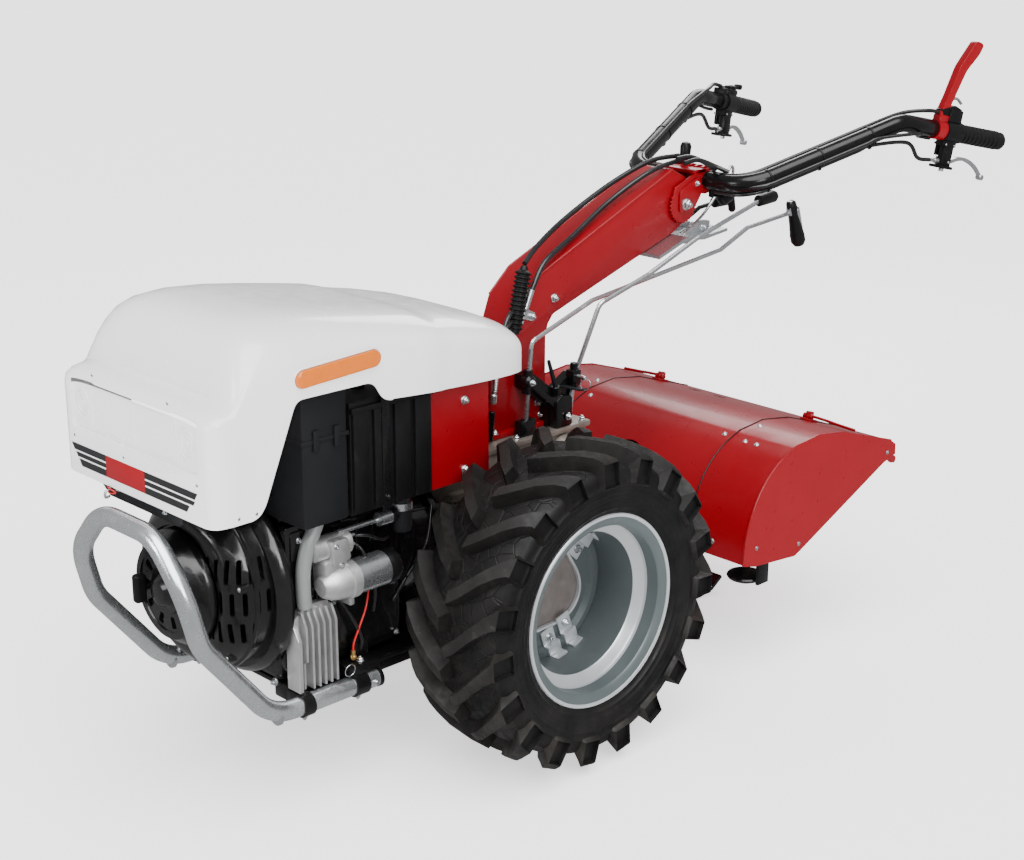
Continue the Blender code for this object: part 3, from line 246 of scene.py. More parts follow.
# ---------------------------------------------------------------- shapes
class Shape:
    """A mesh in the making: boxes, turned parts, sweeps and bolts gathered into one piece."""

    def __init__(self):
        self.bm = bmesh.new()

    def faces(self, rows, closed_rows=False, closed_ring=True):
        """Skin rows of points. Rows of one length are joined, each a ring if closed_ring."""
        made = [[self.bm.verts.new(point) for point in row] for row in rows]
        pairs = list(zip(made, made[1:]))
        if closed_rows:
            pairs.append((made[-1], made[0]))
        count = len(made[0])
        steps = count if closed_ring else count - 1
        for first, second in pairs:
            for k in range(steps):
                n = (k + 1) % count
                self.bm.faces.new((first[k], first[n], second[n], second[k]))
        return made

    def cap(self, ring):
        """Close a ring of points with one face."""
        self.bm.faces.new(ring)

    def box(self, low, high, bevel=0.0015, turn=None, segments=2):
        """Add a box between two corners, with its edges bevelled."""
        low, high = Vector(low), Vector(high)
        points = [Vector((x, y, z)) for x in (low.x, high.x) for y in (low.y, high.y)
                  for z in (low.z, high.z)]
        verts = [self.bm.verts.new(point) for point in points]
        quads = ((0, 1, 3, 2), (4, 6, 7, 5), (0, 4, 5, 1), (2, 3, 7, 6), (0, 2, 6, 4), (1, 5, 7, 3))
        made = [self.bm.faces.new([verts[k] for k in quad]) for quad in quads]
        return self.finish_part(verts, made, bevel, turn, segments)

    def finish_part(self, verts, faces, bevel, turn, segments=2):
        """Bevel a new part's sharp edges, then turn it."""
        bmesh.ops.recalc_face_normals(self.bm, faces=faces)
        if bevel > 0:
            edges = {edge for face in faces for edge in face.edges}
            sharp = [edge for edge in edges if edge.calc_face_angle(0) > 0.5]
            made = bmesh.ops.bevel(self.bm, geom=sharp, offset=bevel, segments=segments, profile=0.5,
                                   affect="EDGES", clamp_overlap=True)
            verts = list({vert for face in faces if face.is_valid
                          for vert in face.verts} | set(made["verts"]))
        if turn is not None:
            bmesh.ops.transform(self.bm, matrix=turn, verts=verts)
        return verts

    def prism(self, outline, axis, low, high, bevel=0.0015, turn=None, segments=2):
        """Extrude an outline in the plane across an axis: X takes (y, z), Y takes (x, z), Z takes (x, y)."""
        def place(pair, along):
            if axis == "X":
                return Vector((along, pair[0], pair[1]))
            if axis == "Y":
                return Vector((pair[0], along, pair[1]))
            return Vector((pair[0], pair[1], along))
        first = [self.bm.verts.new(place(pair, low)) for pair in outline]
        second = [self.bm.verts.new(place(pair, high)) for pair in outline]
        made = [self.bm.faces.new(first), self.bm.faces.new(list(reversed(second)))]
        count = len(outline)
        for k in range(count):
            n = (k + 1) % count
            made.append(self.bm.faces.new((first[n], first[k], second[k], second[n])))
        return self.finish_part(first + second, made, bevel, turn, segments)

    def turned(self, profile, base, direction, segments=48, closed=False):
        """Revolve (along, radius) pairs about the line from base along direction."""
        frame_turn = Vector((0, 0, 1)).rotation_difference(Vector(direction).normalized()).to_matrix()
        rings = []
        for along, radius in profile:
            ring = []
            for k in range(segments):
                angle = 2 * math.pi * k / segments
                local = Vector((radius * math.cos(angle), radius * math.sin(angle), along))
                ring.append(Vector(base) + frame_turn @ local)
            rings.append(ring)
        made = [[self.bm.verts.new(point) for point in ring] for ring in rings]
        pairs = list(zip(made, made[1:]))
        if closed:
            pairs.append((made[-1], made[0]))
        faces = []
        for first, second in pairs:
            for k in range(segments):
                n = (k + 1) % segments
                faces.append(self.bm.faces.new((first[k], first[n], second[n], second[k])))
        if not closed:
            faces.append(self.bm.faces.new(list(reversed(made[0]))))
            faces.append(self.bm.faces.new(made[-1]))
        bmesh.ops.recalc_face_normals(self.bm, faces=faces)
        return [vert for ring in made for vert in ring]

    def rod(self, start, end, radius, segments=16, edge=0.0008):
        """A round bar with a small chamfer at both ends."""
        start, end = Vector(start), Vector(end)
        length = (end - start).length
        edge = min(edge, radius / 3, length / 3)
        profile = [(0, radius - edge), (edge, radius), (length - edge, radius), (length, radius - edge)]
        return self.turned(profile, start, end - start, segments)

    def sweep(self, points, radius, segments=12, cap=True, radii=None):
        """A round tube along a line of points, turned as little as possible on its way."""
        points = [Vector(point) for point in points]
        normal = None
        rings = []
        for k, point in enumerate(points):
            before = points[max(k - 1, 0)]
            after = points[min(k + 1, len(points) - 1)]
            along = (after - before).normalized()
            if normal is None:
                normal = along.orthogonal().normalized()
            normal = (normal - along * normal.dot(along)).normalized()
            side = along.cross(normal)
            here = radius if radii is None else radii[k]
            rings.append([point + (normal * math.cos(a) + side * math.sin(a)) * here
                          for a in (2 * math.pi * n / segments for n in range(segments))])
        made = self.faces(rings)
        if cap:
            self.cap(list(reversed(made[0])))
            self.cap(made[-1])
        return [vert for ring in made for vert in ring]

    def bolt(self, seat, direction, size=0.006, head="hex", washer=True):
        """A bolt head on a seat: hex, round or cap, with a washer under it."""
        seat, direction = Vector(seat), Vector(direction).normalized()
        start = seat - direction * 0.0006
        if washer:
            self.turned([(0, size * 1.25), (size * 0.35, size * 1.25), (size * 0.42, size * 1.15)], start,
                        direction, 24)
            start = start + direction * size * 0.42
        if head == "hex":
            self.turned([(0, size), (size * 0.62, size), (size * 0.80, size * 0.80)], start, direction, 6)
            self.turned([(size * 0.5, size * 0.52), (size * 1.25, size * 0.52), (size * 1.35, size * 0.42)],
                        start, direction, 16)
        elif head == "cap":
            self.turned([(0, size * 0.8), (size * 0.85, size * 0.8), (size, size * 0.7), (size, size * 0.42),
                         (size * 0.5, size * 0.40)], start, direction, 20)
        else:
            self.turned([(0, size * 0.95), (size * 0.25, size * 0.90), (size * 0.45, size * 0.65),
                         (size * 0.52, size * 0.25)], start, direction, 20)

    def piece(self, name, material, body, smooth=35, materials=()):
        """Make the object, smooth its round faces and ride it on a CAD body."""
        mesh = bpy.data.meshes.new(name)
        self.bm.to_mesh(mesh)
        self.bm.free()
        obj = bpy.data.objects.new(name, mesh)
        bpy.context.scene.collection.objects.link(obj)
        mesh.materials.append(material)
        for extra in materials:
            mesh.materials.append(extra)
        mesh.shade_smooth()
        mesh.set_sharp_from_angle(angle=math.radians(smooth))
        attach(obj, body)
        return obj


def curve_through(knots, per_span=8):
    """Points on a smooth curve through the knots."""
    knots = [Vector(knot) for knot in knots]
    padded = [2 * knots[0] - knots[1], *knots, 2 * knots[-1] - knots[-2]]
    points = []
    for a, b, c, d in zip(padded, padded[1:], padded[2:], padded[3:]):
        for step in range(per_span):
            t = step / per_span
            points.append(0.5 * (2 * b + (c - a) * t + (2 * a - 5 * b + 4 * c - d) * t * t
                                 + (3 * b - a - 3 * c + d) * t ** 3))
    points.append(knots[-1])
    return points


def rounded_path(corners, bend_radius, steps=8):
    """Straight runs between corners, each corner rounded to an arc."""
    points = [Vector(corners[0])]
    for before, here, after in zip(corners, corners[1:], corners[2:]):
        here = Vector(here)
        to_before = (Vector(before) - here).normalized()
        to_after = (Vector(after) - here).normalized()
        half = to_before.angle(to_after) / 2
        reach = bend_radius / math.tan(half)
        centre = here + (to_before + to_after).normalized() * (bend_radius / math.sin(half))
        start = (here + to_before * reach - centre).normalized()
        end = (here + to_after * reach - centre).normalized()
        for step in range(steps + 1):
            points.append(centre + start.slerp(end, step / steps) * bend_radius)
    points.append(Vector(corners[-1]))
    return points


def rounded_outline(points, radius, steps=5):
    """A closed outline in a plane with its corners rounded."""
    result = []
    count = len(points)
    for k in range(count):
        here = Vector(points[k])
        before = Vector(points[k - 1]) - here
        after = Vector(points[(k + 1) % count]) - here
        reach = min(radius, before.length * 0.45, after.length * 0.45)
        start = here + before.normalized() * reach
        end = here + after.normalized() * reach
        for step in range(steps + 1):
            t = step / steps
            result.append(tuple(start * (1 - t) ** 2 + here * 2 * t * (1 - t) + end * t * t))
    return result


def about(point, axis, degrees):
    """A turn about an axis through a point."""
    shift = Matrix.Translation(point)
    return shift @ Matrix.Rotation(math.radians(degrees), 4, axis) @ shift.inverted()


def dress(node, material):
    """Give a CAD node that stays in view its finish."""
    mesh = cad[node].data
    mesh.materials.clear()
    mesh.materials.append(material)


def cut(target, *tools):
    """Cut the tools out of a piece, and remove them."""
    for tool in tools:
        modifier = target.modifiers.new("cut", "BOOLEAN")
        modifier.operation = "DIFFERENCE"
        modifier.solver = "EXACT"
        modifier.object = tool
    graph = bpy.context.evaluated_depsgraph_get()
    mesh = bpy.data.meshes.new_from_object(target.evaluated_get(graph))
    target.modifiers.clear()
    target.data = mesh
    for tool in tools:
        bpy.data.objects.remove(tool, do_unlink=True)


# ---------------------------------------------------------------- camera, floor and light
CAMERA_LENS = 65.04               # mm, on a sensor 36 mm wide
CAMERA_PLACE = (2.35, -2.11, 1.548)
CAMERA_TURN = (math.radians(72), 0, math.radians(46))
LIT_POINT = (0, 0.1, 0.45)        # what the lights face
SUN_PLACE, SUN_POWER, SUN_SPREAD = (1.5, -0.9, 4.0), 5.4, math.radians(64)
WORLD_STRENGTH = 0.34
FLOOR_HALF = 30                   # metres
FLOOR_GLOW = 1.1                  # keeps the floor white under the machine
PANELS = (("key", (3.0, -1.0, 1.9), 1.1, 34), ("front", (-0.6, -3.4, 1.9), 1.0, 34),
          ("back", (-1.6, 2.8, 2.4), 1.4, 36))


def build_stage():
    """Camera, white floor, world and lights."""
    camera_data = bpy.data.cameras.new("camera")
    camera_data.sensor_width = 36
    camera_data.lens = CAMERA_LENS
    camera_data.clip_end = 50
    camera = bpy.data.objects.new("camera", camera_data)
    camera.location = at(*CAMERA_PLACE)
    camera.rotation_euler = CAMERA_TURN
    bpy.context.scene.collection.objects.link(camera)
    bpy.context.scene.camera = camera

    floor_material = bpy.data.materials.new("floor")
    floor_material.use_nodes = True
    shader = floor_material.node_tree.nodes["Principled BSDF"]
    shader.inputs["Base Color"].default_value = (0.90, 0.90, 0.90, 1)
    shader.inputs["Roughness"].default_value = 0.60
    shader.inputs["Emission Color"].default_value = (1, 1, 1, 1)
    shader.inputs["Emission Strength"].default_value = FLOOR_GLOW
    bm = bmesh.new()
    bmesh.ops.create_grid(bm, x_segments=2, y_segments=2, size=FLOOR_HALF)
    mesh = bpy.data.meshes.new("floor")
    bm.to_mesh(mesh)
    bm.free()
    mesh.materials.append(floor_material)
    floor = bpy.data.objects.new("floor", mesh)
    bpy.context.scene.collection.objects.link(floor)
    floor.visible_glossy = False

    world = bpy.data.worlds.new("studio")
    world.use_nodes = True
    world.node_tree.nodes["Background"].inputs[0].default_value = (1.0, 1.0, 1.0, 1)
    world.node_tree.nodes["Background"].inputs[1].default_value = WORLD_STRENGTH
    bpy.context.scene.world = world

    target = at(*LIT_POINT)
    sun_data = bpy.data.lights.new("overhead", "SUN")
    sun_data.energy = SUN_POWER
    sun_data.angle = SUN_SPREAD
    sun = bpy.data.objects.new("overhead", sun_data)
    sun.location = at(*SUN_PLACE)
    sun.rotation_euler = (target - sun.location).to_track_quat("-Z", "Y").to_euler()
    bpy.context.scene.collection.objects.link(sun)
    for name, place, size, power in PANELS:
        light_data = bpy.data.lights.new(name, "AREA")
        light_data.shape = "SQUARE"
        light_data.size = size
        light_data.energy = power
        light = bpy.data.objects.new(name, light_data)
        light.location = at(*place)
        light.rotation_euler = (target - light.location).to_track_quat("-Z", "Y").to_euler()
        bpy.context.scene.collection.objects.link(light)


# ---------------------------------------------------------------- wheels
LUGS_PER_SIDE = 19
LUG_HEIGHT = 0.026
LUG_SWEEP = math.radians(17)    # how far a lug's middle end leads its shoulder end
LUG_PITCH = 2 * math.pi / LUGS_PER_SIDE


def tyre_section():
    """Half of the carcass from the middle of the tread to the bead: (distance from middle, radius)."""
    tread = WHEEL_RADIUS - LUG_HEIGHT
    knots = [(0, tread), (0.030, tread - 0.0005), (0.060, tread - 0.003), (0.082, tread - 0.009),
             (0.095, tread - 0.020), (0.1005, tread - 0.036), (0.1010, 0.218), (0.0995, 0.203),
             (0.0960, 0.190), (0.0915, 0.1790), (0.0890, 0.1730)]
    return [(point.x, point.y) for point in curve_through([(x, r, 0) for x, r in knots], 5)]


def section_point(section, share):
    """The carcass point and outward normal at a share of the way along its half section."""
    place = share * (len(section) - 1)
    k = min(int(place), len(section) - 2)
    first, second = Vector(section[k]), Vector(section[k + 1])
    along = (second - first).normalized()
    return first.lerp(second, place - k), Vector((-along.y, along.x))


def wheel_point(side, across, radius, angle):
    """A point on a wheel: across from its middle, outward positive; the angle runs forward over the top."""
    return Vector((side * (WHEEL_MIDDLE_X + across), AXLE_Y - radius * math.sin(angle),
                   WHEEL_RADIUS + radius * math.cos(angle)))


def build_tyre(side, label):
    """One tyre: carcass with side ribs, and its tread bars."""
    section = tyre_section()
    ribs = []
    for across, radius in section:
        lift = 0.0
        for rib_radius, height in ((0.226, 0.0022), (0.212, 0.0020), (0.203, 0.0012), (0.194, 0.0024),
                                   (0.183, 0.0022)):
            if across > 0.08:
                lift += height * math.exp(-((radius - rib_radius) / 0.0022) ** 2)
        ribs.append((across + lift, radius))
    full = [(-a, r) for a, r in reversed(ribs)][:-1] + ribs
    full += [(0.078, 0.1715), (-0.078, 0.1715)]
    steps = 190
    shape = Shape()
    rows = [[wheel_point(side, a, r, 2 * math.pi * n / steps) for a, r in full] for n in range(steps)]
    shape.faces(rows, closed_rows=True)
    bmesh.ops.recalc_face_normals(shape.bm, faces=shape.bm.faces)
    tyre = shape.piece(label + "_tyre_carcass", TYRE, label + "_wheel", 50, (TREAD,))
    hub = wheel_point(side, 0.0, 0.0, 0.0)
    for face in tyre.data.polygons:
        reach = face.center - hub
        if math.hypot(reach.y, reach.z) > WHEEL_RADIUS - LUG_HEIGHT - 0.014:
            face.material_index = 1
    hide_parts(label + "_tyre")

    lugs = Shape()
    stations = ((0.000, 0.0010, 0.0105), (0.010, LUG_HEIGHT * 0.98, 0.0115), (0.10, LUG_HEIGHT, 0.0120),
                (0.20, LUG_HEIGHT, 0.0125), (0.28, LUG_HEIGHT, 0.0140), (0.335, LUG_HEIGHT, 0.0160),
                (0.35, LUG_HEIGHT * 0.95, 0.0165), (0.515, 0.0080, 0.0175), (0.54, 0.0045, 0.0170),
                (0.57, 0.0006, 0.0150))
    for outward in (1, -1):
        for k in range(LUGS_PER_SIDE):
            shoulder = (k + (0.5 if outward < 0 else 0.0)) * LUG_PITCH
            add_lug(lugs, side, outward, shoulder, section, stations)
    piece = lugs.piece(label + "_tyre_lugs", LUG, label + "_wheel", 28, (TYRE,))


def add_lug(shape, side, outward, shoulder, section, stations):
    """One tread bar from near the tread's middle round the shoulder, with a pocket in its outer end."""
    rows = []
    for share, height, half_width in stations:
        point, normal = section_point(section, share)
        across_share = min(point.x / 0.088, 1.0)
        angle = shoulder + LUG_SWEEP * (1 - across_share ** 1.35)
        base_half = half_width * 1.32 + 0.0015
        row = []
        for offset, rise in ((-base_half, -0.0015), (-half_width, height), (half_width, height),
                             (base_half, -0.0015)):
            place = point + normal * rise
            across = outward * max(place.x, 0.002 + 0.15 * abs(offset - half_width))
            turn = angle + offset / max(place.y, 0.1)
            row.append(wheel_point(side, across, place.y, turn))
        rows.append(row)
    made = shape.faces(rows, closed_ring=False)
    for row in (made[0], list(reversed(made[-1]))):
        shape.bm.faces.new(row)
    first, second = made[6], made[7]
    tops = list(set(first[1].link_faces) & set(first[2].link_faces) & set(second[1].link_faces))
    if tops:
        bmesh.ops.inset_region(shape.bm, faces=tops, thickness=0.0042, use_even_offset=True)
        walls = bmesh.ops.inset_region(shape.bm, faces=tops, thickness=0.0014, use_even_offset=True)["faces"]
        inner = [face for face in tops if face.is_valid]
        moved = {vert for face in inner for vert in face.verts}
        centre = sum((vert.co for vert in moved), Vector()) / len(moved)
        hub = wheel_point(side, 0.0, 0.0, 0.0)
        inner[0].normal_update()
        inward = inner[0].normal.copy()
        if inward.dot(centre - hub) > 0:
            inward.negate()
        for vert in moved:
            vert.co += inward * 0.0090
        # The pocket's walls and floor take the darker carcass rubber: painted shade in the recess.
        for face in walls + inner:
            face.material_index = 1


def build_rim(side, label):
    """One rim: bright lips and bands as painted highlights over a darker well as painted shade, lit and
    shaded copies of one metal.
    """
    edge = 0.0890
    outside = [(edge - 0.0080, 0.1520), (edge - 0.0060, 0.1560), (edge - 0.0050, 0.1675),
               (edge - 0.0035, 0.1712), (edge, 0.1722), (edge + 0.0022, 0.1706), (edge + 0.0022, 0.1680)]
    face = [(edge + 0.0010, 0.1655), (edge - 0.0006, 0.1580), (edge - 0.0030, 0.1515),
            (edge - 0.0060, 0.1484),
            (edge - 0.0300, 0.1462), (edge - 0.0340, 0.1450), (edge - 0.0372, 0.1415),
            (edge - 0.0430, 0.1302), (edge - 0.0462, 0.1272), (edge - 0.0520, 0.1262)]
    # The lip's light part, in the bright copy: painted highlight.
    light = outside + face[:1]
    base = (side * WHEEL_MIDDLE_X, AXLE_Y, WHEEL_RADIUS)
    direction = (side, 0, 0)

    for mirrored, suffix in ((1, "outer"), (-1, "inner")):
        lip = Shape()
        profile = [(mirrored * a, r) for a, r in light + [(edge - 0.0035, 0.1640)]]
        lip.turned(profile, base, direction, 128, closed=True)
        lip.piece(f"{label}_rim_{suffix}_lip", RIM_PAINTED_HIGHLIGHT, label + "_wheel", 40)
    # Bands in the well, in the bright copy: painted highlights.
    band = Shape()
    for mirrored in (1, -1):
        ring = [(edge - 0.0300, 0.1463), (edge - 0.0340, 0.1452), (edge - 0.0372, 0.1417),
                (edge - 0.0430, 0.1304),
                (edge - 0.0462, 0.1274), (edge - 0.0470, 0.1290), (edge - 0.0400, 0.1420),
                (edge - 0.0300, 0.1480)]
        band.turned([(mirrored * a, r) for a, r in ring], base, direction, 128, closed=True)
    band.piece(label + "_rim_highlight_bands", RIM_PAINTED_HIGHLIGHT, label + "_wheel", 30)

    # The well in the dark copy: painted shade.
    well = Shape()
    inner = [(edge - 0.0002, 0.1650), (edge - 0.0016, 0.1580), (edge - 0.0040, 0.1515),
             (edge - 0.0070, 0.1488), (edge - 0.0305, 0.1468), (edge - 0.0345, 0.1456),
             (edge - 0.0376, 0.1421), (edge - 0.0434, 0.1308), (edge - 0.0466, 0.1278),
             (edge - 0.0520, 0.1268)]
    outer = [(a, r + 0.0022) for a, r in inner]
    full = inner + [(-a, r) for a, r in reversed(inner)] + [(-a, r) for a, r in outer] + list(reversed(outer))
    well.turned(full, base, direction, 128, closed=True)
    rim = well.piece(label + "_rim_well_painted_shade", RIM_PAINTED_SHADE, label + "_wheel", 30)
    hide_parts(label + "_rim")


def build_disc(side, label):
    """The wheel disc with its three-lobed opening, the hub face behind it and its bolted lugs."""
    low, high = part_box(label + "_wheel_disc")
    near_x = high.x if side > 0 else low.x
    far_x = near_x - side * 0.005
    steps = 144
    lobe_start = math.radians(-28)

    def opening(angle, grow=0.0):
        return 0.084 + 0.010 * math.cos(3 * (angle - lobe_start)) + grow

    def ring(x, radius_of):
        return [Vector((x, AXLE_Y + radius_of(a) * math.cos(a), WHEEL_RADIUS + radius_of(a) * math.sin(a)))
                for a in (2 * math.pi * n / steps for n in range(steps))]

    plate = Shape()
    rows = [ring(near_x, lambda a: 0.1262), ring(near_x, lambda a: 0.1150),
            ring(near_x - side * 0.010, lambda a: 0.1090),
            ring(near_x - side * 0.010, lambda a: opening(a, 0.008)),
            ring(near_x - side * 0.010, lambda a: opening(a, 0.004)),
            ring(near_x - side * 0.0145, lambda a: opening(a, 0.004)),
            ring(near_x - side * 0.0145, lambda a: 0.110),
            ring(far_x, lambda a: 0.1262)]
    plate.faces(rows, closed_rows=True)
    bmesh.ops.recalc_face_normals(plate.bm, faces=plate.bm.faces)
    # The disc plate takes the rim's dark copy: painted shade.
    disc = plate.piece(label + "_disc_plate", RIM_PAINTED_SHADE, label + "_wheel", 40)
    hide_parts(label + "_wheel_disc")

    # A ring round the opening in the rim's bright copy: a painted highlight along its edge.
    edge = Shape()
    rows = [ring(near_x - side * 0.0085, lambda a: opening(a, 0.0035)),
            ring(near_x - side * 0.0075, lambda a: opening(a, 0.001)),
            ring(near_x - side * 0.0085, lambda a: opening(a, -0.001)),
            ring(near_x - side * 0.0155, lambda a: opening(a, -0.001)),
            ring(near_x - side * 0.0155, lambda a: opening(a, 0.0035))]
    edge.faces(rows, closed_rows=True)
    bmesh.ops.recalc_face_normals(edge.bm, faces=edge.bm.faces)
    edge.piece(label + "_disc_edge", RIM_PAINTED_HIGHLIGHT, label + "_wheel", 40)

    hub = Shape()
    hub_x = near_x - side * 0.0165
    inner_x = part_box("transmission_case")[1].x if side > 0 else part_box("transmission_case")[0].x
    start = Vector((inner_x + side * 0.0006, AXLE_Y, WHEEL_RADIUS))
    length = abs(hub_x - start.x)
    hub.turned([(0, 0.026), (0, 0.034), (length - 0.030, 0.034), (length - 0.018, 0.060),
                (length - 0.014, 0.098),
                (length - 0.0005, 0.100), (length, 0.098), (length, 0.0062), (length - 0.007, 0.0056)],
               start, (side, 0, 0), 72)
    face = hub.piece(label + "_hub_face", HUB_BROWN, label + "_wheel", 40)
    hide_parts(label + "_hub")

    lugs = Shape()
    bolts = Shape()
    for k in range(3):
        turn = about((0, AXLE_Y, WHEEL_RADIUS), "X", -side * (k * 120 + 42))
        step_x = near_x - side * 0.010
        for shift, foot in ((-0.021, 0.0), (0.021, 0.004)):
            low_x, high_x = sorted((step_x + side * 0.0004, step_x + side * 0.0045))
            lugs.box((low_x, AXLE_Y + shift - 0.015, WHEEL_RADIUS + 0.072 + foot),
                     (high_x, AXLE_Y + shift + 0.015, WHEEL_RADIUS + 0.1262), 0.0012, turn)
            low_x, high_x = sorted((step_x + side * 0.0004, near_x + side * 0.0040))
            lugs.box((low_x, AXLE_Y + shift - 0.015, WHEEL_RADIUS + 0.1035),
                     (high_x, AXLE_Y + shift + 0.015, WHEEL_RADIUS + 0.1262), 0.0012, turn)
            low_x, high_x = sorted((near_x, near_x + side * 0.020))
            lugs.box((low_x, AXLE_Y + shift - 0.013, WHEEL_RADIUS + 0.1222),
                     (high_x, AXLE_Y + shift + 0.013, WHEEL_RADIUS + 0.1268), 0.0010, turn)
            seat = turn @ Vector((step_x + side * 0.0045, AXLE_Y + shift, WHEEL_RADIUS + 0.088 + foot))
            bolts.bolt(seat, (side, 0, 0), 0.0062, "hex" if shift < 0 else "cap")
    # The lugs take the rim's bright copy: painted highlight.
    lugs.piece(label + "_disc_lugs", RIM_PAINTED_HIGHLIGHT, label + "_wheel")
    bolts.piece(label + "_disc_bolts", ZINC, label + "_wheel")


WHEEL_MIDDLE_X = middle("left_tyre").x


def build_wheels():
    """Both wheels."""
    for side, label in SIDES:
        build_tyre(side, label)
        build_rim(side, label)
        build_disc(side, label)


# ---------------------------------------------------------------- hood
HOOD_LOW, HOOD_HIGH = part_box("hood")
HOOD_FRONT = HOOD_LOW.y - AXLE_Y
HOOD_TAIL = HOOD_HIGH.y - AXLE_Y
HOOD_BOTTOM = HOOD_LOW.z
HOOD_HALF = HOOD_HIGH.x
HOOD_WALL = 0.004
HOOD_HINGE_Z = 0.690            # height of the hinge pin, straight above the axle


def hood_stations():
    """(y, half width, shoulder height, top height, squareness) from the front to the tail."""
    f = HOOD_FRONT
    h = HOOD_HALF
    knots = [
        (f, h - 0.020, 0.700, 0.716, 0.30), (f + 0.003, h - 0.011, 0.708, 0.724, 0.30),
        (f + 0.009, h - 0.0045, 0.713, 0.731, 0.30), (f + 0.020, h - 0.0005, 0.716, 0.738, 0.30),
        (f + 0.034, h, 0.718, 0.741, 0.31), (f + 0.044, h, 0.720, 0.744, 0.33),
        (f + 0.050, h - 0.0008, 0.726, 0.754, 0.36), (f + 0.058, h - 0.0014, 0.736, 0.778, 0.38),
        (f + 0.068, h - 0.0018, 0.746, 0.803, 0.40), (f + 0.080, h - 0.002, 0.755, 0.8225, 0.41),
        (f + 0.096, h - 0.002, 0.766, 0.8365, 0.42), (f + 0.120, h - 0.002, 0.773, 0.8450, 0.42),
        (f + 0.170, h - 0.002, 0.776, 0.8480, 0.42), (f + 0.240, h - 0.002, 0.776, 0.8415, 0.42),
        (f + 0.320, h - 0.002, 0.774, 0.8285, 0.42), (f + 0.400, h - 0.003, 0.767, 0.8145, 0.42),
        (f + 0.440, h - 0.004, 0.762, 0.8070, 0.42), (f + 0.458, h - 0.0065, 0.758, 0.8020, 0.42),
        (f + 0.474, h - 0.0105, 0.754, 0.7965, 0.42), (f + 0.495, h - 0.0125, 0.749, 0.7920, 0.42),
        (f + 0.540, h - 0.0170, 0.738, 0.7835, 0.42), (f + 0.600, h - 0.0260, 0.720, 0.7690, 0.43),
        (f + 0.640, h - 0.0345, 0.709, 0.7560, 0.44), (f + 0.668, h - 0.0430, 0.702, 0.7440, 0.46),
        (HOOD_TAIL, h - 0.0520, 0.698, 0.7340, 0.48),
    ]
    return knots


def hood_half_at(y):
    """The hood's half width at y, measured from the axle."""
    knots = hood_stations()
    for first, second in zip(knots, knots[1:]):
        if y <= second[0]:
            share = max(0.0, (y - first[0]) / (second[0] - first[0]))
            return first[1] + (second[1] - first[1]) * share
    return knots[-1][1]


def hood_rows(inset, steps=16, deep=0.0):
    """The hood's cross-section rows, set in by a distance and carried down by deep."""
    knots = hood_stations()
    rows = []
    middle_y = (HOOD_FRONT + HOOD_TAIL) / 2
    spans = []
    for k, (first, second) in enumerate(zip(knots, knots[1:])):
        parts = 2 if second[0] - first[0] > 0.018 else 1
        spans += [tuple(a + (b - a) * n / parts for a, b in zip(first, second)) for n in range(parts)]
    spans.append(knots[-1])
    for y, half, shoulder, top, power in spans:
        half_width = half - inset
        shoulder -= inset
        top -= inset
        place_y = y + math.copysign(inset, middle_y - y) if y in (knots[0][0], knots[-1][0]) else y
        low = HOOD_BOTTOM - deep
        side = [(half_width, low), (half_width, low + 0.012 + deep), (half_width, 0.60), (half_width, 0.64),
                (half_width, (0.64 + shoulder) / 2)]
        for k in range(steps + 1):
            angle = math.pi / 2 * k / steps
            side.append((half_width * max(math.cos(angle), 0.0) ** power,
                         shoulder + (top - shoulder) * math.sin(angle) ** 0.95))
        side[-1] = (0.0, side[-1][1])
        row = side + [(-x, z) for x, z in reversed(side[:-1])]
        rows.append([at(x, place_y, z) for x, z in row])
    return rows


def hood_solid(name, inset, deep):
    """One closed solid of the hood's outline, to be cut or to cut with."""
    shape = Shape()
    made = shape.faces(hood_rows(inset, deep=deep))
    shape.cap(made[0])
    shape.cap(list(reversed(made[-1])))
    bmesh.ops.recalc_face_normals(shape.bm, faces=shape.bm.faces)
    return shape.piece(name, HOOD_WHITE, "hood_body", 30)


def mouth_outline():
    """The side opening and the edge behind it, as (y, z) from the axle, with round corners."""
    f = HOOD_FRONT
    tail = HOOD_TAIL
    corners = [(f + 0.066, 0.480), (f + 0.066, 0.5575), (f + 0.084, 0.5610), (f + 0.0955, 0.5750),
               (f + 0.160, 0.729), (f + 0.314, 0.7275),
               (f + 0.336, 0.6915), (tail + 0.050, 0.655), (tail + 0.050, 0.480)]
    return rounded_outline(corners, 0.016, 6)


def tool_prism(outline, axis, low, high):
    """A prism to cut with."""
    shape = Shape()
    shape.prism(outline, axis, low, high, bevel=0)
    return shape.piece("tool", HOOD_WHITE, "hood_body")


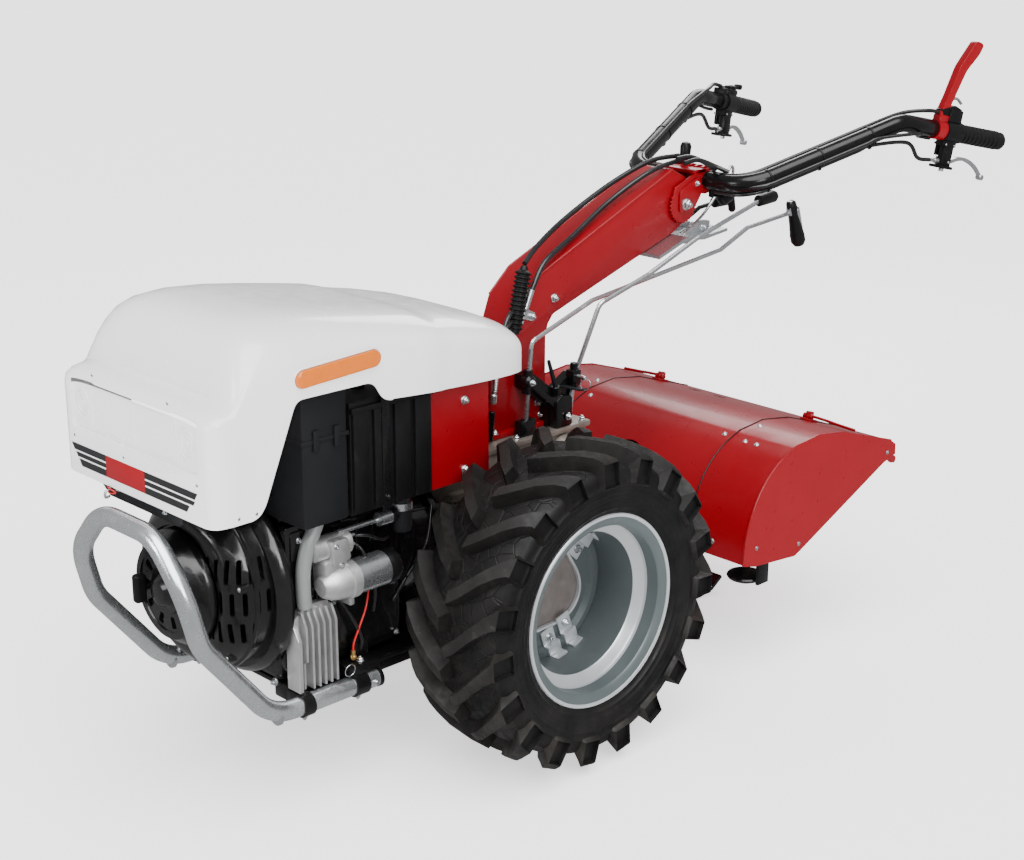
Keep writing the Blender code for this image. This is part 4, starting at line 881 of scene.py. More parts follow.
def build_hood():
    """The hood as one shell with its openings, and what is fixed to it."""
    hood = hood_solid("hood_shell", 0.0, 0.0)
    inside = hood_solid("tool", HOOD_WALL, 0.06)
    mouth = [(y + AXLE_Y, z) for y, z in mouth_outline()]
    front = HOOD_FRONT + AXLE_Y
    recess = rounded_outline([(-0.176, 0.637), (0.172, 0.637), (0.172, 0.7265), (0.120, 0.7265),
                              (0.104, 0.7195),
                              (-0.108, 0.7195), (-0.124, 0.7265), (-0.176, 0.7265)], 0.011, 5)
    tail = HOOD_TAIL + AXLE_Y
    notch = [(tail - 0.012, 0.500), (tail + 0.012, 0.500), (tail + 0.012, 0.712), (tail - 0.012, 0.712)]
    cut(hood, inside, tool_prism(mouth, "X", -0.4, 0.4), tool_prism(notch, "X", -0.040, 0.040))
    cut(hood, tool_prism(recess, "Y", front - 0.01, front + 0.0036))
    hood.data.shade_smooth()
    hood.data.set_sharp_from_angle(angle=math.radians(32))
    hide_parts("hood")

    bead = Shape()
    path = [(y, z) for y, z in mouth_outline() if z > 0.5580 and y < HOOD_TAIL + 0.004]
    for side in (1, -1):
        line = [at(side * (hood_half_at(y) - 0.0022), y, z) for y, z in path]
        bead.sweep(line, 0.0026, 8)
    rim = [at(-HOOD_HALF + 0.0022, HOOD_FRONT + 0.072, HOOD_BOTTOM + 0.001)]
    rim += [at(-HOOD_HALF + 0.0022, HOOD_FRONT + 0.030, HOOD_BOTTOM + 0.001),
            at(-HOOD_HALF + 0.024, HOOD_FRONT + 0.0022, HOOD_BOTTOM + 0.001)]
    rim += [Vector((-point.x, point.y, point.z)) for point in reversed(rim)]
    bead.sweep(rounded_path(rim, 0.012, 5), 0.0024, 8)
    bead.piece("hood_edge_bead", HOOD_WHITE, "hood_body", 60)
    build_hood_front()
    build_hinge_ears()


def build_hood_front():
    """Mouldings, screws and the blank stripe plates on the hood's front face."""
    face_y = HOOD_FRONT
    mould = Shape()
    panel_y = face_y + 0.0036
    for x in (-0.146, 0.143):
        for radius in (0.0200, 0.0125):
            ring = [at(x + radius * math.cos(a), panel_y - 0.0004, 0.680 + radius * 1.15 * math.sin(a))
                    for a in (2 * math.pi * k / 40 for k in range(41))]
            mould.sweep(ring, 0.0016, 8, cap=False)
        mould.turned([(0, 0.006), (0.0018, 0.0055), (0.0022, 0.002)], at(x, panel_y, 0.680), (0, -1, 0), 20)
    outline = rounded_outline([(-0.118, 0.6455), (0.115, 0.6455), (0.115, 0.7120), (-0.118, 0.7120)], 0.006,
                              4)
    loop = [at(x, panel_y - 0.0001, z) for x, z in outline]
    mould.sweep(loop + [loop[0]], 0.0009, 6, cap=False)
    groove = [at(0, panel_y - 0.0001, 0.6460), at(0, panel_y - 0.0001, 0.7115)]
    mould.sweep(groove, 0.0007, 6)
    mould.piece("front_panel_mouldings", HOOD_WHITE, "hood_body", 50)

    screws = Shape()
    for x, z in ((-0.107, 0.7345), (0.101, 0.7345), (-0.030, 0.618), (0.168, 0.622), (-0.172, 0.622)):
        screws.bolt(at(x, face_y + 0.0002, z), (0, -1, 0), 0.0030, "round", washer=False)
    for side in (1, -1):
        for y, z in ((-0.607, 0.5675), (-0.573, 0.5665)):
            screws.bolt(at(side * (hood_half_at(y)), y, z), (side, 0, 0), 0.0030, "round", washer=False)
    screws.piece("hood_screws", ZINC, "hood_body")

    stripes = Shape()
    for low, high, left, right in ((0.5975, 0.6085, -0.182, 0.168), (0.5870, 0.5945, -0.171, 0.161),
                                   (0.5725, 0.5840, -0.163, 0.146)):
        lean = (high - low) * 0.7
        for start, end in ((left, -0.083), (0.027, right)):
            first_lean = lean if start == left else 0
            last_lean = lean if end == right else 0
            stripes.prism([(start + first_lean, low), (end - last_lean, low), (end, high), (start, high)],
                          "Y", face_y + AXLE_Y - 0.0006, face_y + AXLE_Y + 0.001, bevel=0.0002, segments=1)
    stripes.piece("front_stripes", BLACK_PLATE, "hood_body")
    badge = Shape()
    badge.box(at(-0.083, face_y - 0.0007, 0.5725), at(0.027, face_y + 0.001, 0.6085), 0.0004)
    badge.piece("front_blank_badge", RED_PLATE, "hood_body")


def build_hinge_ears():
    """The hood's two ears round the hinge pin."""
    ears = Shape()
    for side in (1, -1):
        low_x, high_x = sorted((side * 0.0395, side * 0.0465))
        outline = [(AXLE_Y - 0.014, 0.733), (AXLE_Y - 0.012, HOOD_HINGE_Z - 0.004)]
        outline += [(AXLE_Y - 0.012 * math.cos(a), HOOD_HINGE_Z - 0.012 * math.sin(a))
                    for a in (math.pi * k / 8 for k in range(1, 8))]
        outline += [(AXLE_Y + 0.012, HOOD_HINGE_Z - 0.004), (AXLE_Y + 0.014, 0.733)]
        ears.prism(outline, "X", low_x, high_x, 0.001)
    ears.piece("hood_hinge_ears", HOOD_WHITE, "hood_body")


def build_markers():
    """Round-ended amber lenses in a thin white bezel, ribbed across."""
    for side, label in SIDES:
        low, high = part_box(label + "_side_marker")
        centre = (low + high) / 2
        half_length = (high.y - low.y) / 2
        radius = (high.z - low.z) / 2 * 1.05
        outer_x = high.x if side > 0 else low.x
        base_x = side * (HOOD_HALF - 0.0035)
        tilt = 0.045
        lens = Shape()
        rows = []
        rings = ((base_x, 1.0), (outer_x - side * 0.0030, 1.0), (outer_x - side * 0.0012, 0.93),
                 (outer_x - side * 0.0003, 0.78), (outer_x, 0.50))
        for x, round_share in rings:
            row = []
            straight = half_length - radius
            for end in (1, -1):
                for k in range(13):
                    a = math.pi * k / 12 - math.pi / 2
                    along = end * (straight + radius * round_share * math.cos(a))
                    up = end * radius * round_share * math.sin(a)
                    row.append(Vector((x, centre.y + along, centre.z + up + tilt * along)))
            rows.append(row)
        made = lens.faces(rows)
        lens.cap(made[0])
        lens.cap(list(reversed(made[-1])))
        bmesh.ops.recalc_face_normals(lens.bm, faces=lens.bm.faces)
        piece = lens.piece(label + "_marker_lens", AMBER, "hood_body", 40)
        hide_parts(label + "_side_marker")

        ribs = Shape()
        for k in range(-9, 10):
            along = k * half_length / 11
            ribs.sweep([Vector((outer_x - side * 0.0005, centre.y + along,
                                centre.z + tilt * along - radius * 0.62)),
                        Vector((outer_x, centre.y + along, centre.z + tilt * along)),
                        Vector((outer_x - side * 0.0005, centre.y + along,
                                centre.z + tilt * along + radius * 0.62))],
                       0.0006, 6)
        ribs.piece(label + "_marker_ribs", AMBER, "hood_body", 60)

        bezel = Shape()
        loop = []
        straight = half_length - radius
        for end in (1, -1):
            for k in range(13):
                a = math.pi * k / 12 - math.pi / 2
                along = end * (straight + (radius + 0.002) * math.cos(a))
                up = end * (radius + 0.002) * math.sin(a)
                loop.append(Vector((side * (HOOD_HALF - 0.0016), centre.y + along,
                                    centre.z + up + tilt * along)))
        bezel.sweep(loop + [loop[0]], 0.0018, 8, cap=False)
        bezel.piece(label + "_marker_bezel", HOOD_WHITE, "hood_body", 60)


def build_latch():
    """The latch bracket under the hood's front, with its hook and red pull loop."""
    plate = Shape()
    face_y = HOOD_FRONT + AXLE_Y + 0.006
    outline = [(-0.122, 0.572), (-0.108, 0.553), (-0.094, 0.5425), (0.104, 0.5370), (0.116, 0.545),
               (0.122, 0.572)]
    plate.prism(outline, "Y", face_y, face_y + 0.003, 0.0012)
    plate.box((-0.092, face_y + 0.002, 0.5370), (0.100, at(0, -0.4656, 0).y, 0.5405), 0.001)
    plate.box((-0.070, face_y + 0.070, 0.5335), (-0.040, face_y + 0.110, 0.5375), 0.001)
    piece = plate.piece("latch_plate", DARK_PLASTIC, "frame")
    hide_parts("hood_latch_bracket")
    hook = Shape()
    hook.sweep(curve_through([(-0.082, face_y - 0.001, 0.552), (-0.084, face_y - 0.010, 0.547),
                              (-0.078, face_y - 0.014, 0.541), (-0.072, face_y - 0.010, 0.544)], 5), 0.0022,
               8)
    hook.bolt((-0.060, face_y, 0.556), (0, -1, 0), 0.0035, "hex")
    hook.bolt((0.070, face_y, 0.552), (0, -1, 0), 0.0035, "hex")
    hook.piece("latch_hook", ZINC, "frame")
    loop = Shape()
    loop.sweep(curve_through([(-0.088, face_y - 0.003, 0.552), (-0.078, face_y - 0.009, 0.557),
                              (-0.066, face_y - 0.010, 0.556), (-0.060, face_y - 0.006, 0.551),
                              (-0.070, face_y - 0.010, 0.549), (-0.084, face_y - 0.006, 0.548)], 6), 0.0012,
               8)
    loop.piece("latch_pull_loop", RED_WIRE, "frame", 60)


# ---------------------------------------------------------------- engine
def side_view(pairs):
    """(y, z) pairs measured from the axle's line, in the frame's coordinates."""
    return [(y + AXLE_Y, z) for y, z in pairs]


def face_plane(low_y, low_z, high_y, high_z, radius):
    """A rounded rectangle seen from the side."""
    corners = [(low_y, low_z), (high_y, low_z), (high_y, high_z), (low_y, high_z)]
    return side_view(rounded_outline(corners, radius))


def build_block():
    """The engine block with its fins, cover plates and bolts."""
    low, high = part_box("engine_block")
    left, front, rear = high.x, low.y, high.y
    block = Shape()
    block.box((low.x + 0.018, front, low.z + 0.002), (left - 0.016, rear, 0.470), 0.012)
    block.box((-0.090, front + 0.010, 0.455), (left - 0.022, rear - 0.020, high.z), 0.006)
    for k in range(9):
        z = 0.285 + k * 0.0145
        block.box((low.x, front + 0.030, z), (-0.075, rear - 0.040, z + 0.004), 0.0012)
    block.box((low.x + 0.004, front + 0.055, 0.300), (low.x + 0.030, rear - 0.065, 0.398), 0.008)
    block.prism(face_plane(-0.4640, 0.225, -0.2180, 0.478, 0.030), "X", left - 0.020, left - 0.006, 0.004)
    block.prism(face_plane(-0.3750, 0.240, -0.2300, 0.345, 0.022), "X", left - 0.010, left - 0.001, 0.003)
    block.prism(face_plane(-0.4645, 0.352, -0.4080, 0.492, 0.012), "X", left - 0.012, left + 0.006, 0.0035)
    block.prism(face_plane(-0.4030, 0.300, -0.3960, 0.486, 0.003), "X", left - 0.012, left + 0.003, 0.002)
    block.prism(face_plane(-0.4560, 0.430, -0.4200, 0.482, 0.008), "X", left + 0.002, left + 0.0095, 0.003)
    block.box(at(left - 0.014, -0.345, 0.468), at(left - 0.001, -0.235, 0.4995), 0.004)
    for k in range(4):
        y = -0.350 + k * 0.036
        block.box(at(left - 0.010, y, 0.352), at(left - 0.0015, y + 0.006, 0.462), 0.0015)
    whole = block.piece("engine_body", BLACK_CAST, "frame", 40)
    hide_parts("engine_block")

    bolts = Shape()
    for y, z, reach in ((-0.437, 0.392, 0.006), (-0.4400, 0.466, 0.0095), (-0.452, 0.240, -0.006),
                        (-0.232, 0.240, -0.001), (-0.366, 0.250, -0.001), (-0.366, 0.335, -0.001),
                        (-0.238, 0.335, -0.001), (-0.3995, 0.320, 0.003), (-0.3995, 0.470, 0.003),
                        (-0.226, 0.468, -0.006)):
        bolts.bolt(at(left + reach, y, z), (1, 0, 0), 0.0042, "cap" if z > 0.34 else "hex")
    for y in (-0.425, -0.285):
        for z in (0.312, 0.386):
            bolts.bolt(at(low.x + 0.004, y, z), (-1, 0, 0), 0.0048)
    bolts.piece("engine_bolts", ZINC, "frame")


def build_fan():
    """Fan housing and recoil cover, with grille and bolts."""
    low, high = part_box("fan_housing")
    centre = (low + high) / 2
    depth = high.y - low.y
    base = Vector((centre.x, high.y, centre.z))
    shroud = Shape()
    shroud.turned([(0, 0.1510), (0.006, 0.1520), (0.010, 0.1500), (0.050, 0.1500), (0.066, 0.1480),
                   (0.080, 0.1400), (0.093, 0.1270), (0.0985, 0.1195), (depth, 0.1130), (depth, 0.1020),
                   (depth - 0.006, 0.1000)],
                  base, (0, -1, 0), 120)
    body = shroud.piece("fan_shroud", BLACK_CAST, "frame", 35)
    tools = Shape()
    for row_z, count, first in ((0.434, 6, 6), (0.382, 6, 12), (0.330, 5, 8)):
        for k in range(count):
            turn_deg = first + k * 13.5
            turn = Matrix.Translation(at(0.050, -0.488, row_z)) @ Matrix.Rotation(math.radians(turn_deg), 4,
                                                                                  "Z")
            outline = rounded_outline([(-0.0040, -0.019), (0.0040, -0.019), (0.0040, 0.019),
                                       (-0.0040, 0.019)], 0.0036)
            tools.prism(outline, "Y", -0.120, -0.050, 0.0, turn)
    for k in range(16):
        turn = Matrix.Translation(centre) @ Matrix.Rotation(math.radians(k * 22.5 + 150), 4, "Y")
        if (k * 22.5 + 150) % 360 < 80 or (k * 22.5 + 150) % 360 > 280:
            continue
        tools.box((0.126, -depth / 2 - 0.02, -0.004), (0.139, -depth / 2 + 0.022, 0.004), 0.0, turn)
    tool = tools.piece("fan_slots", SLOT_SHADE, "frame")
    cut(body, tool)
    body.data.shade_smooth()
    body.data.set_sharp_from_angle(angle=math.radians(35))
    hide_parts("fan_housing")

    rims = Shape()
    rims.turned([(0.055, 0.1505), (0.057, 0.1530), (0.061, 0.1530), (0.063, 0.1500)], base, (0, -1, 0), 120)
    rims.turned([(0.001, 0.1500), (0.002, 0.1610), (0.008, 0.1630), (0.016, 0.1615), (0.024, 0.1560),
                 (0.030, 0.1500)],
                base + Vector((0.010, 0, -0.006)), (0, -1, 0), 120)
    for k in range(6):
        angle = math.radians(k * 60 + 12)
        seat = base + Vector((0.1400 * math.cos(angle), -0.0805, 0.1400 * math.sin(angle)))
        rims.turned([(-0.010, 0.009), (0.003, 0.008), (0.004, 0.006)], seat, (0, -1, 0), 24)
    rims.piece("fan_rims", BLACK_CAST, "frame")
    screws = Shape()
    for k in range(6):
        angle = math.radians(k * 60 + 12)
        seat = base + Vector((0.1400 * math.cos(angle), -0.0845, 0.1400 * math.sin(angle)))
        screws.bolt(seat, (0, -1, 0), 0.0034, "round")
    screws.piece("fan_screws", ZINC, "frame")

    low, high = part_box("recoil_cover")
    seat = Vector((centre.x, high.y, centre.z))
    cover = Shape()
    cover.turned([(0, 0.0975), (0.010, 0.0975), (0.014, 0.0950), (0.026, 0.0860), (0.0335, 0.0810),
                  (0.0335, 0.0700),
                  (0.0310, 0.0685), (0.0310, 0.0400), (0.0335, 0.0385), (0.0335, 0.0280), (0.0400, 0.0240),
                  (0.0470, 0.0190), (0.0490, 0.0120)], seat, (0, -1, 0), 96)
    disc = cover.piece("recoil_disc", BLACK_CAST, "frame", 35)
    holes = Shape()
    for k in range(10):
        turn = Matrix.Translation(seat) @ Matrix.Rotation(math.radians(k * 36), 4, "Y")
        holes.prism(rounded_outline([(0.044, -0.005), (0.064, -0.007), (0.064, 0.007), (0.044, 0.005)],
                                    0.004), "Y",
                    -0.060, -0.022, 0.0, turn)
    cut(disc, holes.piece("recoil_slots", SLOT_SHADE, "frame"))
    disc.data.shade_smooth()
    disc.data.set_sharp_from_angle(angle=math.radians(35))
    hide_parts("recoil_cover")

    handle = Shape()
    handle.rod(at(-0.066, -0.585, 0.376), at(-0.066, -0.612, 0.376), 0.0060)
    handle.box(at(-0.074, -0.628, 0.352), at(-0.058, -0.606, 0.402), 0.006, None, 4)
    handle.piece("starter_handle", BLACK_PLASTIC, "frame")

    linkage = Shape()
    coil = [at(-0.035 + 0.0011 * k, -0.5440 + 0.0045 * math.cos(k * 0.9), 0.5365 + 0.0045 * math.sin(k * 0.9))
            for k in range(40)]
    linkage.sweep(coil, 0.0008, 6)
    linkage.sweep([at(-0.060, -0.544, 0.545), at(-0.036, -0.544, 0.538)], 0.0009, 6)
    linkage.sweep(curve_through([at(0.008, -0.544, 0.538), at(0.024, -0.546, 0.544), at(0.034, -0.546, 0.528),
                                 at(0.044, -0.540, 0.520)]), 0.0011, 6)
    linkage.box(at(0.026, -0.549, 0.512), at(0.040, -0.546, 0.530), 0.001)
    linkage.piece("governor_linkage", ZINC, "frame")


def build_units():
    """The starter, the regulator and the other small units on the engine's left side."""
    starter = middle("starter_motor")
    x, z = starter.x, starter.z
    low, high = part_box("starter_motor")
    steel = Shape()
    steel.turned([(0, 0.0285), (0.001, 0.0295), (0.062, 0.0295), (0.063, 0.0285)], at(x, -0.349, z),
                 (0, 1, 0), 64)
    tube = steel.piece("starter_steel", ZINC, "frame", 40)
    nose = Shape()
    nose.turned([(0, 0.0150), (0.003, 0.0180), (0.016, 0.0250), (0.030, 0.0285), (0.056, 0.0300),
                 (0.0665, 0.0300), (0.0665, 0.0200)], at(x, -0.4155, z), (0, 1, 0), 48)
    nose.turned([(0, 0.0300), (0.002, 0.0325), (0.017, 0.0325), (0.019, 0.0300)], at(x, -0.368, z), (0, 1, 0),
                64)
    nose.box(at(0.1215, -0.362, z - 0.045), at(0.158, -0.3515, z - 0.020), 0.002)
    nose.prism(side_view(rounded_outline([(-0.412, 0.428), (-0.372, 0.430), (-0.352, 0.405), (-0.352, 0.370),
                                          (-0.408, 0.366)], 0.008)), "X", 0.1215, 0.160, 0.004)
    cast = nose.piece("starter_nose", ALUMINIUM, "frame", 40)
    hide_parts("starter_motor")
    back = Shape()
    back.turned([(0, 0.0292), (0.006, 0.0300), (0.016, 0.0300), (0.026, 0.0240), (0.028, 0.0130),
                 (0.033, 0.0120), (0.034, 0.0100)], at(x, -0.286, z), (0, 1, 0), 48)
    for k in range(8):
        angle = 2 * math.pi * k / 8
        back.rod(at(x + 0.026 * math.cos(angle), -0.275, z + 0.026 * math.sin(angle)),
                 at(x + 0.026 * math.cos(angle), -0.262, z + 0.026 * math.sin(angle)), 0.0035, 12)
    back.piece("starter_back", BLACK_PLASTIC, "frame", 40)

    solenoid = middle("starter_solenoid")
    body = Shape()
    body.turned([(0, 0.0165), (0.002, 0.0195), (0.060, 0.0195), (0.064, 0.0205), (0.072, 0.0205),
                 (0.074, 0.0180)],
                at(solenoid.x, -0.425, solenoid.z), (0, 1, 0), 48)
    body.prism(side_view(rounded_outline([(-0.404, 0.462), (-0.366, 0.462), (-0.360, 0.424), (-0.398, 0.418)],
                                         0.006)),
               "X", 0.124, 0.1655, 0.004)
    sole = body.piece("solenoid_body", ALUMINIUM, "frame", 40)
    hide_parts("starter_solenoid")
    studs = Shape()
    for dz in (-0.008, 0.008):
        studs.rod(at(solenoid.x + 0.004, -0.352, solenoid.z + dz),
                  at(solenoid.x + 0.004, -0.338, solenoid.z + dz), 0.003)
        studs.bolt(at(solenoid.x + 0.004, -0.350, solenoid.z + dz), (0, 1, 0), 0.0045)
    for y, z, reach in ((-0.392, 0.452, 0.1655), (-0.378, 0.415, 0.160), (-0.398, 0.384, 0.160),
                        (-0.362, 0.384, 0.160)):
        studs.bolt(at(reach, y, z), (1, 0, 0), 0.0038, "cap")
    studs.piece("starter_studs", ZINC, "frame")

    pipe = Shape()
    pipe.sweep(curve_through([at(0.134, -0.436, 0.352), at(0.137, -0.440, 0.384), at(0.139, -0.440, 0.420),
                              at(0.139, -0.430, 0.455), at(0.138, -0.416, 0.478), at(0.136, -0.404, 0.500),
                              at(0.132, -0.398, 0.520)], 8), 0.0125, 28)
    duct = pipe.piece("breather_pipe", DUCT_GREY, "frame", 60)
    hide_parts("intake_pipe")

    low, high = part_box("regulator")
    fins = Shape()
    fins.prism(side_view([(-0.4620, 0.2125), (-0.3880, 0.2125), (-0.3880, 0.352), (-0.4380, 0.352),
                          (-0.4620, 0.330)]),
               "X", low.x, low.x + 0.014, 0.0015)
    for k in range(7):
        y = low.y + k * 0.0122
        top = high.z + (0.000 if k else -0.020)
        outline = [(low.x + 0.010, low.z), (high.x, low.z + 0.001), (high.x, top - 0.024),
                   (high.x - 0.012, top), (low.x + 0.010, top)]
        if k == 1:
            outline = [(low.x + 0.010, low.z), (high.x - 0.009, low.z), (high.x - 0.009, low.z + 0.046),
                       (high.x, low.z + 0.052), (high.x, top - 0.024), (high.x - 0.012, top),
                       (low.x + 0.010, top)]
        fins.prism(outline, "Y", y, y + 0.0042, 0.0008, None, 1)
    fins.prism([(low.x, low.z), (high.x, low.z), (high.x, high.z - 0.042), (high.x - 0.014, high.z - 0.020),
                (low.x, high.z - 0.020)], "Y", low.y - 0.0035, low.y + 0.001, 0.0015)
    finned = fins.piece("regulator_fins", ALUMINIUM, "frame", 30)
    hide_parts("regulator")

    stick = middle("dipstick")
    rod = Shape()
    reach = stick.x + 0.013
    drop = stick.z - 0.012
    rod.rod(at(reach, -0.372, drop), at(reach, -0.262, drop), 0.0044)
    rod.turned([(0, 0.0070), (0.001, 0.0120), (0.026, 0.0120), (0.027, 0.0100)], at(reach, -0.288, drop),
               (0, 1, 0), 28)
    piece = rod.piece("dipstick_tube", ZINC, "frame", 40)
    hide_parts("dipstick")
    cap = Shape()
    cap.turned([(0, 0.0110), (0.001, 0.0128), (0.010, 0.0128), (0.014, 0.0090)], at(reach, -0.2612, drop),
               (0, 1, 0), 24)
    cap.piece("dipstick_cap", BLACK_PLASTIC, "frame")

    low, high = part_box("fuel_filter")
    spot = (low + high) / 2
    can = Shape()
    can.turned([(0, 0.010), (0.003, 0.016), (0.010, 0.0180), (0.044, 0.0180), (0.045, 0.0150)],
               (spot.x, spot.y, low.z + 0.002), (0, 0, 1), 40)
    ring = Shape()
    ring.turned([(0, 0.0170), (0.001, 0.0195), (0.013, 0.0195), (0.014, 0.0150), (0.020, 0.0100)],
                (spot.x, spot.y, low.z + 0.0425), (0, 0, 1), 40)
    ring.piece("fuel_filter_ring", ZINC, "frame", 40)
    filter_can = can.piece("fuel_filter_can", DARK_PLASTIC, "frame", 40)
    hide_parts("fuel_filter")

    low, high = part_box("muffler")
    spot = (low + high) / 2
    can = Shape()
    can.turned([(0, 0.022), (0.004, 0.030), (0.010, 0.0325), (0.012, 0.0340), (0.016, 0.0340),
                (0.018, 0.0325),
                (0.132, 0.0325), (0.134, 0.0340), (0.138, 0.0340), (0.140, 0.0325), (0.146, 0.030),
                (0.150, 0.022)],
               (spot.x, low.y, spot.z), (0, 1, 0), 56)
    can.rod((spot.x, low.y + 0.030, spot.z - 0.030), (spot.x, low.y + 0.030, spot.z - 0.052), 0.010, 24)
    can.box((spot.x + 0.020, low.y + 0.060, spot.z - 0.016), (spot.x + 0.036, low.y + 0.092, spot.z + 0.016),
            0.003)
    silencer = can.piece("silencer", STEEL, "frame", 40)
    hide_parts("muffler")


def build_wires():
    """Loose wires and hoses round the engine."""
    wires = Shape()
    wires.sweep(curve_through([at(0.132, -0.300, 0.345), at(0.142, -0.316, 0.316), at(0.147, -0.334, 0.290),
                               at(0.145, -0.346, 0.262), at(0.138, -0.342, 0.240)]), 0.0018, 8)
    wires.piece("red_wires", RED_WIRE, "frame", 60)
    black = Shape()
    routes = (((0.126, -0.352, 0.440), (0.140, -0.330, 0.432), (0.152, -0.318, 0.405), (0.148, -0.300, 0.350),
               (0.130, -0.290, 0.300)),
              ((0.145, -0.338, 0.452), (0.152, -0.316, 0.448), (0.146, -0.282, 0.430),
               (0.126, -0.252, 0.420)),
              ((0.123, -0.372, 0.356), (0.142, -0.352, 0.318), (0.145, -0.330, 0.270),
               (0.132, -0.322, 0.238)),
              ((0.100, -0.130, 0.440), (0.118, -0.160, 0.380), (0.112, -0.200, 0.330),
               (0.122, -0.240, 0.300)))
    for route in routes:
        black.sweep(curve_through([at(*knot) for knot in route]), 0.0030, 10)
    black.piece("black_wires", CABLE, "frame", 60)
    ends = Shape()
    ends.rod(at(0.138, -0.342, 0.246), at(0.138, -0.342, 0.232), 0.0042, 12)
    ends.bolt(at(0.138, -0.342, 0.2335), (1, 0, 0.3), 0.0045)
    ends.piece("wire_ends", BRASS, "frame")


def build_bumper():
    """The bent front bumper with its feet."""
    low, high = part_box("bumper")
    radius = 0.0165
    half = high.x - radius
    left = [at(half, -0.300, 0.190), at(half, -0.520, 0.190), at(half, -0.650, 0.352),
            at(half - 0.002, -0.672, 0.440), at(half - 0.075, -0.672, 0.520)]
    right = [Vector((-point.x, point.y, point.z)) for point in reversed(left)]
    tube = Shape()
    tube.sweep(rounded_path(left + right, 0.090, 16), radius, 36)
    bar = tube.piece("bumper_tube", ZINC_TUBE, "frame", 60)
    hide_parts("bumper")
    welds = Shape()
    for side in (1, -1):
        welds.turned([(0, radius - 0.002), (0.001, radius + 0.0006), (0.006, radius + 0.0006),
                      (0.007, radius - 0.002)],
                     at(side * half, -0.516, 0.190), (0, 1, 0), 36)
        welds.rod(at(side * (half + 0.0155), -0.318, 0.190), at(side * (half + 0.022), -0.318, 0.190), 0.0042)
    welds.piece("bumper_collars", ZINC, "frame")
    dark = Shape()
    for side in (1, -1):
        inside = side * half
        dark.turned([(0, radius - 0.003), (0.0006, radius + 0.0010), (0.008, radius + 0.0012),
                     (0.009, radius - 0.001)],
                    at(inside, -0.3075, 0.190), (0, 1, 0), 36)
        for y, reach in ((-0.456, 0.011), (-0.344, 0.014)):
            dark.turned([(0, radius + 0.0002), (0.0005, radius + 0.0035),
                         (2 * reach - 0.0005, radius + 0.0035),
                         (2 * reach, radius + 0.0002)], at(inside, y - reach, 0.190), (0, 1, 0), 40)
            low_x, high_x = sorted((side * 0.118, side * 0.160))
            dark.box(at(low_x, y - reach, 0.182), at(high_x, y + reach, 0.210), 0.003)
        low_x, high_x = sorted((side * 0.118, side * 0.158))
        dark.box(at(low_x, -0.366, 0.206), at(high_x, -0.300, 0.226), 0.004)
        low_x, high_x = sorted((side * 0.123, side * 0.134))
        dark.box(at(low_x, -0.338, 0.222), at(high_x, -0.306, 0.262), 0.003)
    dark.piece("bumper_clamps", BLACK, "frame")

    low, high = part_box("engine_base")
    base = Shape()
    base.box((low.x, low.y, high.z - 0.008), high, 0.002)
    for side in (1, -1):
        low_x, high_x = sorted((side * 0.075, side * 0.127))
        base.box((low_x, low.y, low.z), (high_x, high.y, high.z - 0.006), 0.004)
    for y in (low.y + 0.020, (low.y + high.y) / 2, high.y - 0.060):
        base.box((-0.100, y, low.z + 0.004), (0.100, y + 0.026, high.z - 0.006), 0.003)
    rails = base.piece("base_rails", BLACK, "frame")
    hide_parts("engine_base")
    bolts = Shape()
    for side in (1, -1):
        bolts.bolt(at(side * 0.145, -0.333, 0.226), (0, 0, 1), 0.0055)
        for y in (-0.440, -0.250, -0.140):
            bolts.bolt(at(side * 0.104, y, low.z), (0, 0, -1), 0.0060)
        for y in (-0.456, -0.344):
            bolts.bolt(at(side * (half - 0.001), y, 0.170), (0, 0, -1), 0.0050)
    for x, z in ((0.090, 0.214), (0.040, 0.236)):
        bolts.bolt(at(x, -0.468, z), (0, -1, 0), 0.0055)
    bolts.piece("base_bolts", ZINC, "frame")
    ring = Shape()
    ring.sweep([at(0.1590 + 0.001 * math.sin(a), -0.366 + 0.0105 * math.cos(a), 0.224 + 0.0105 * math.sin(a))
                for a in (2 * math.pi * k / 26 for k in range(27))], 0.0009, 8)
    ring.piece("clamp_ring", ZINC, "frame", 60)


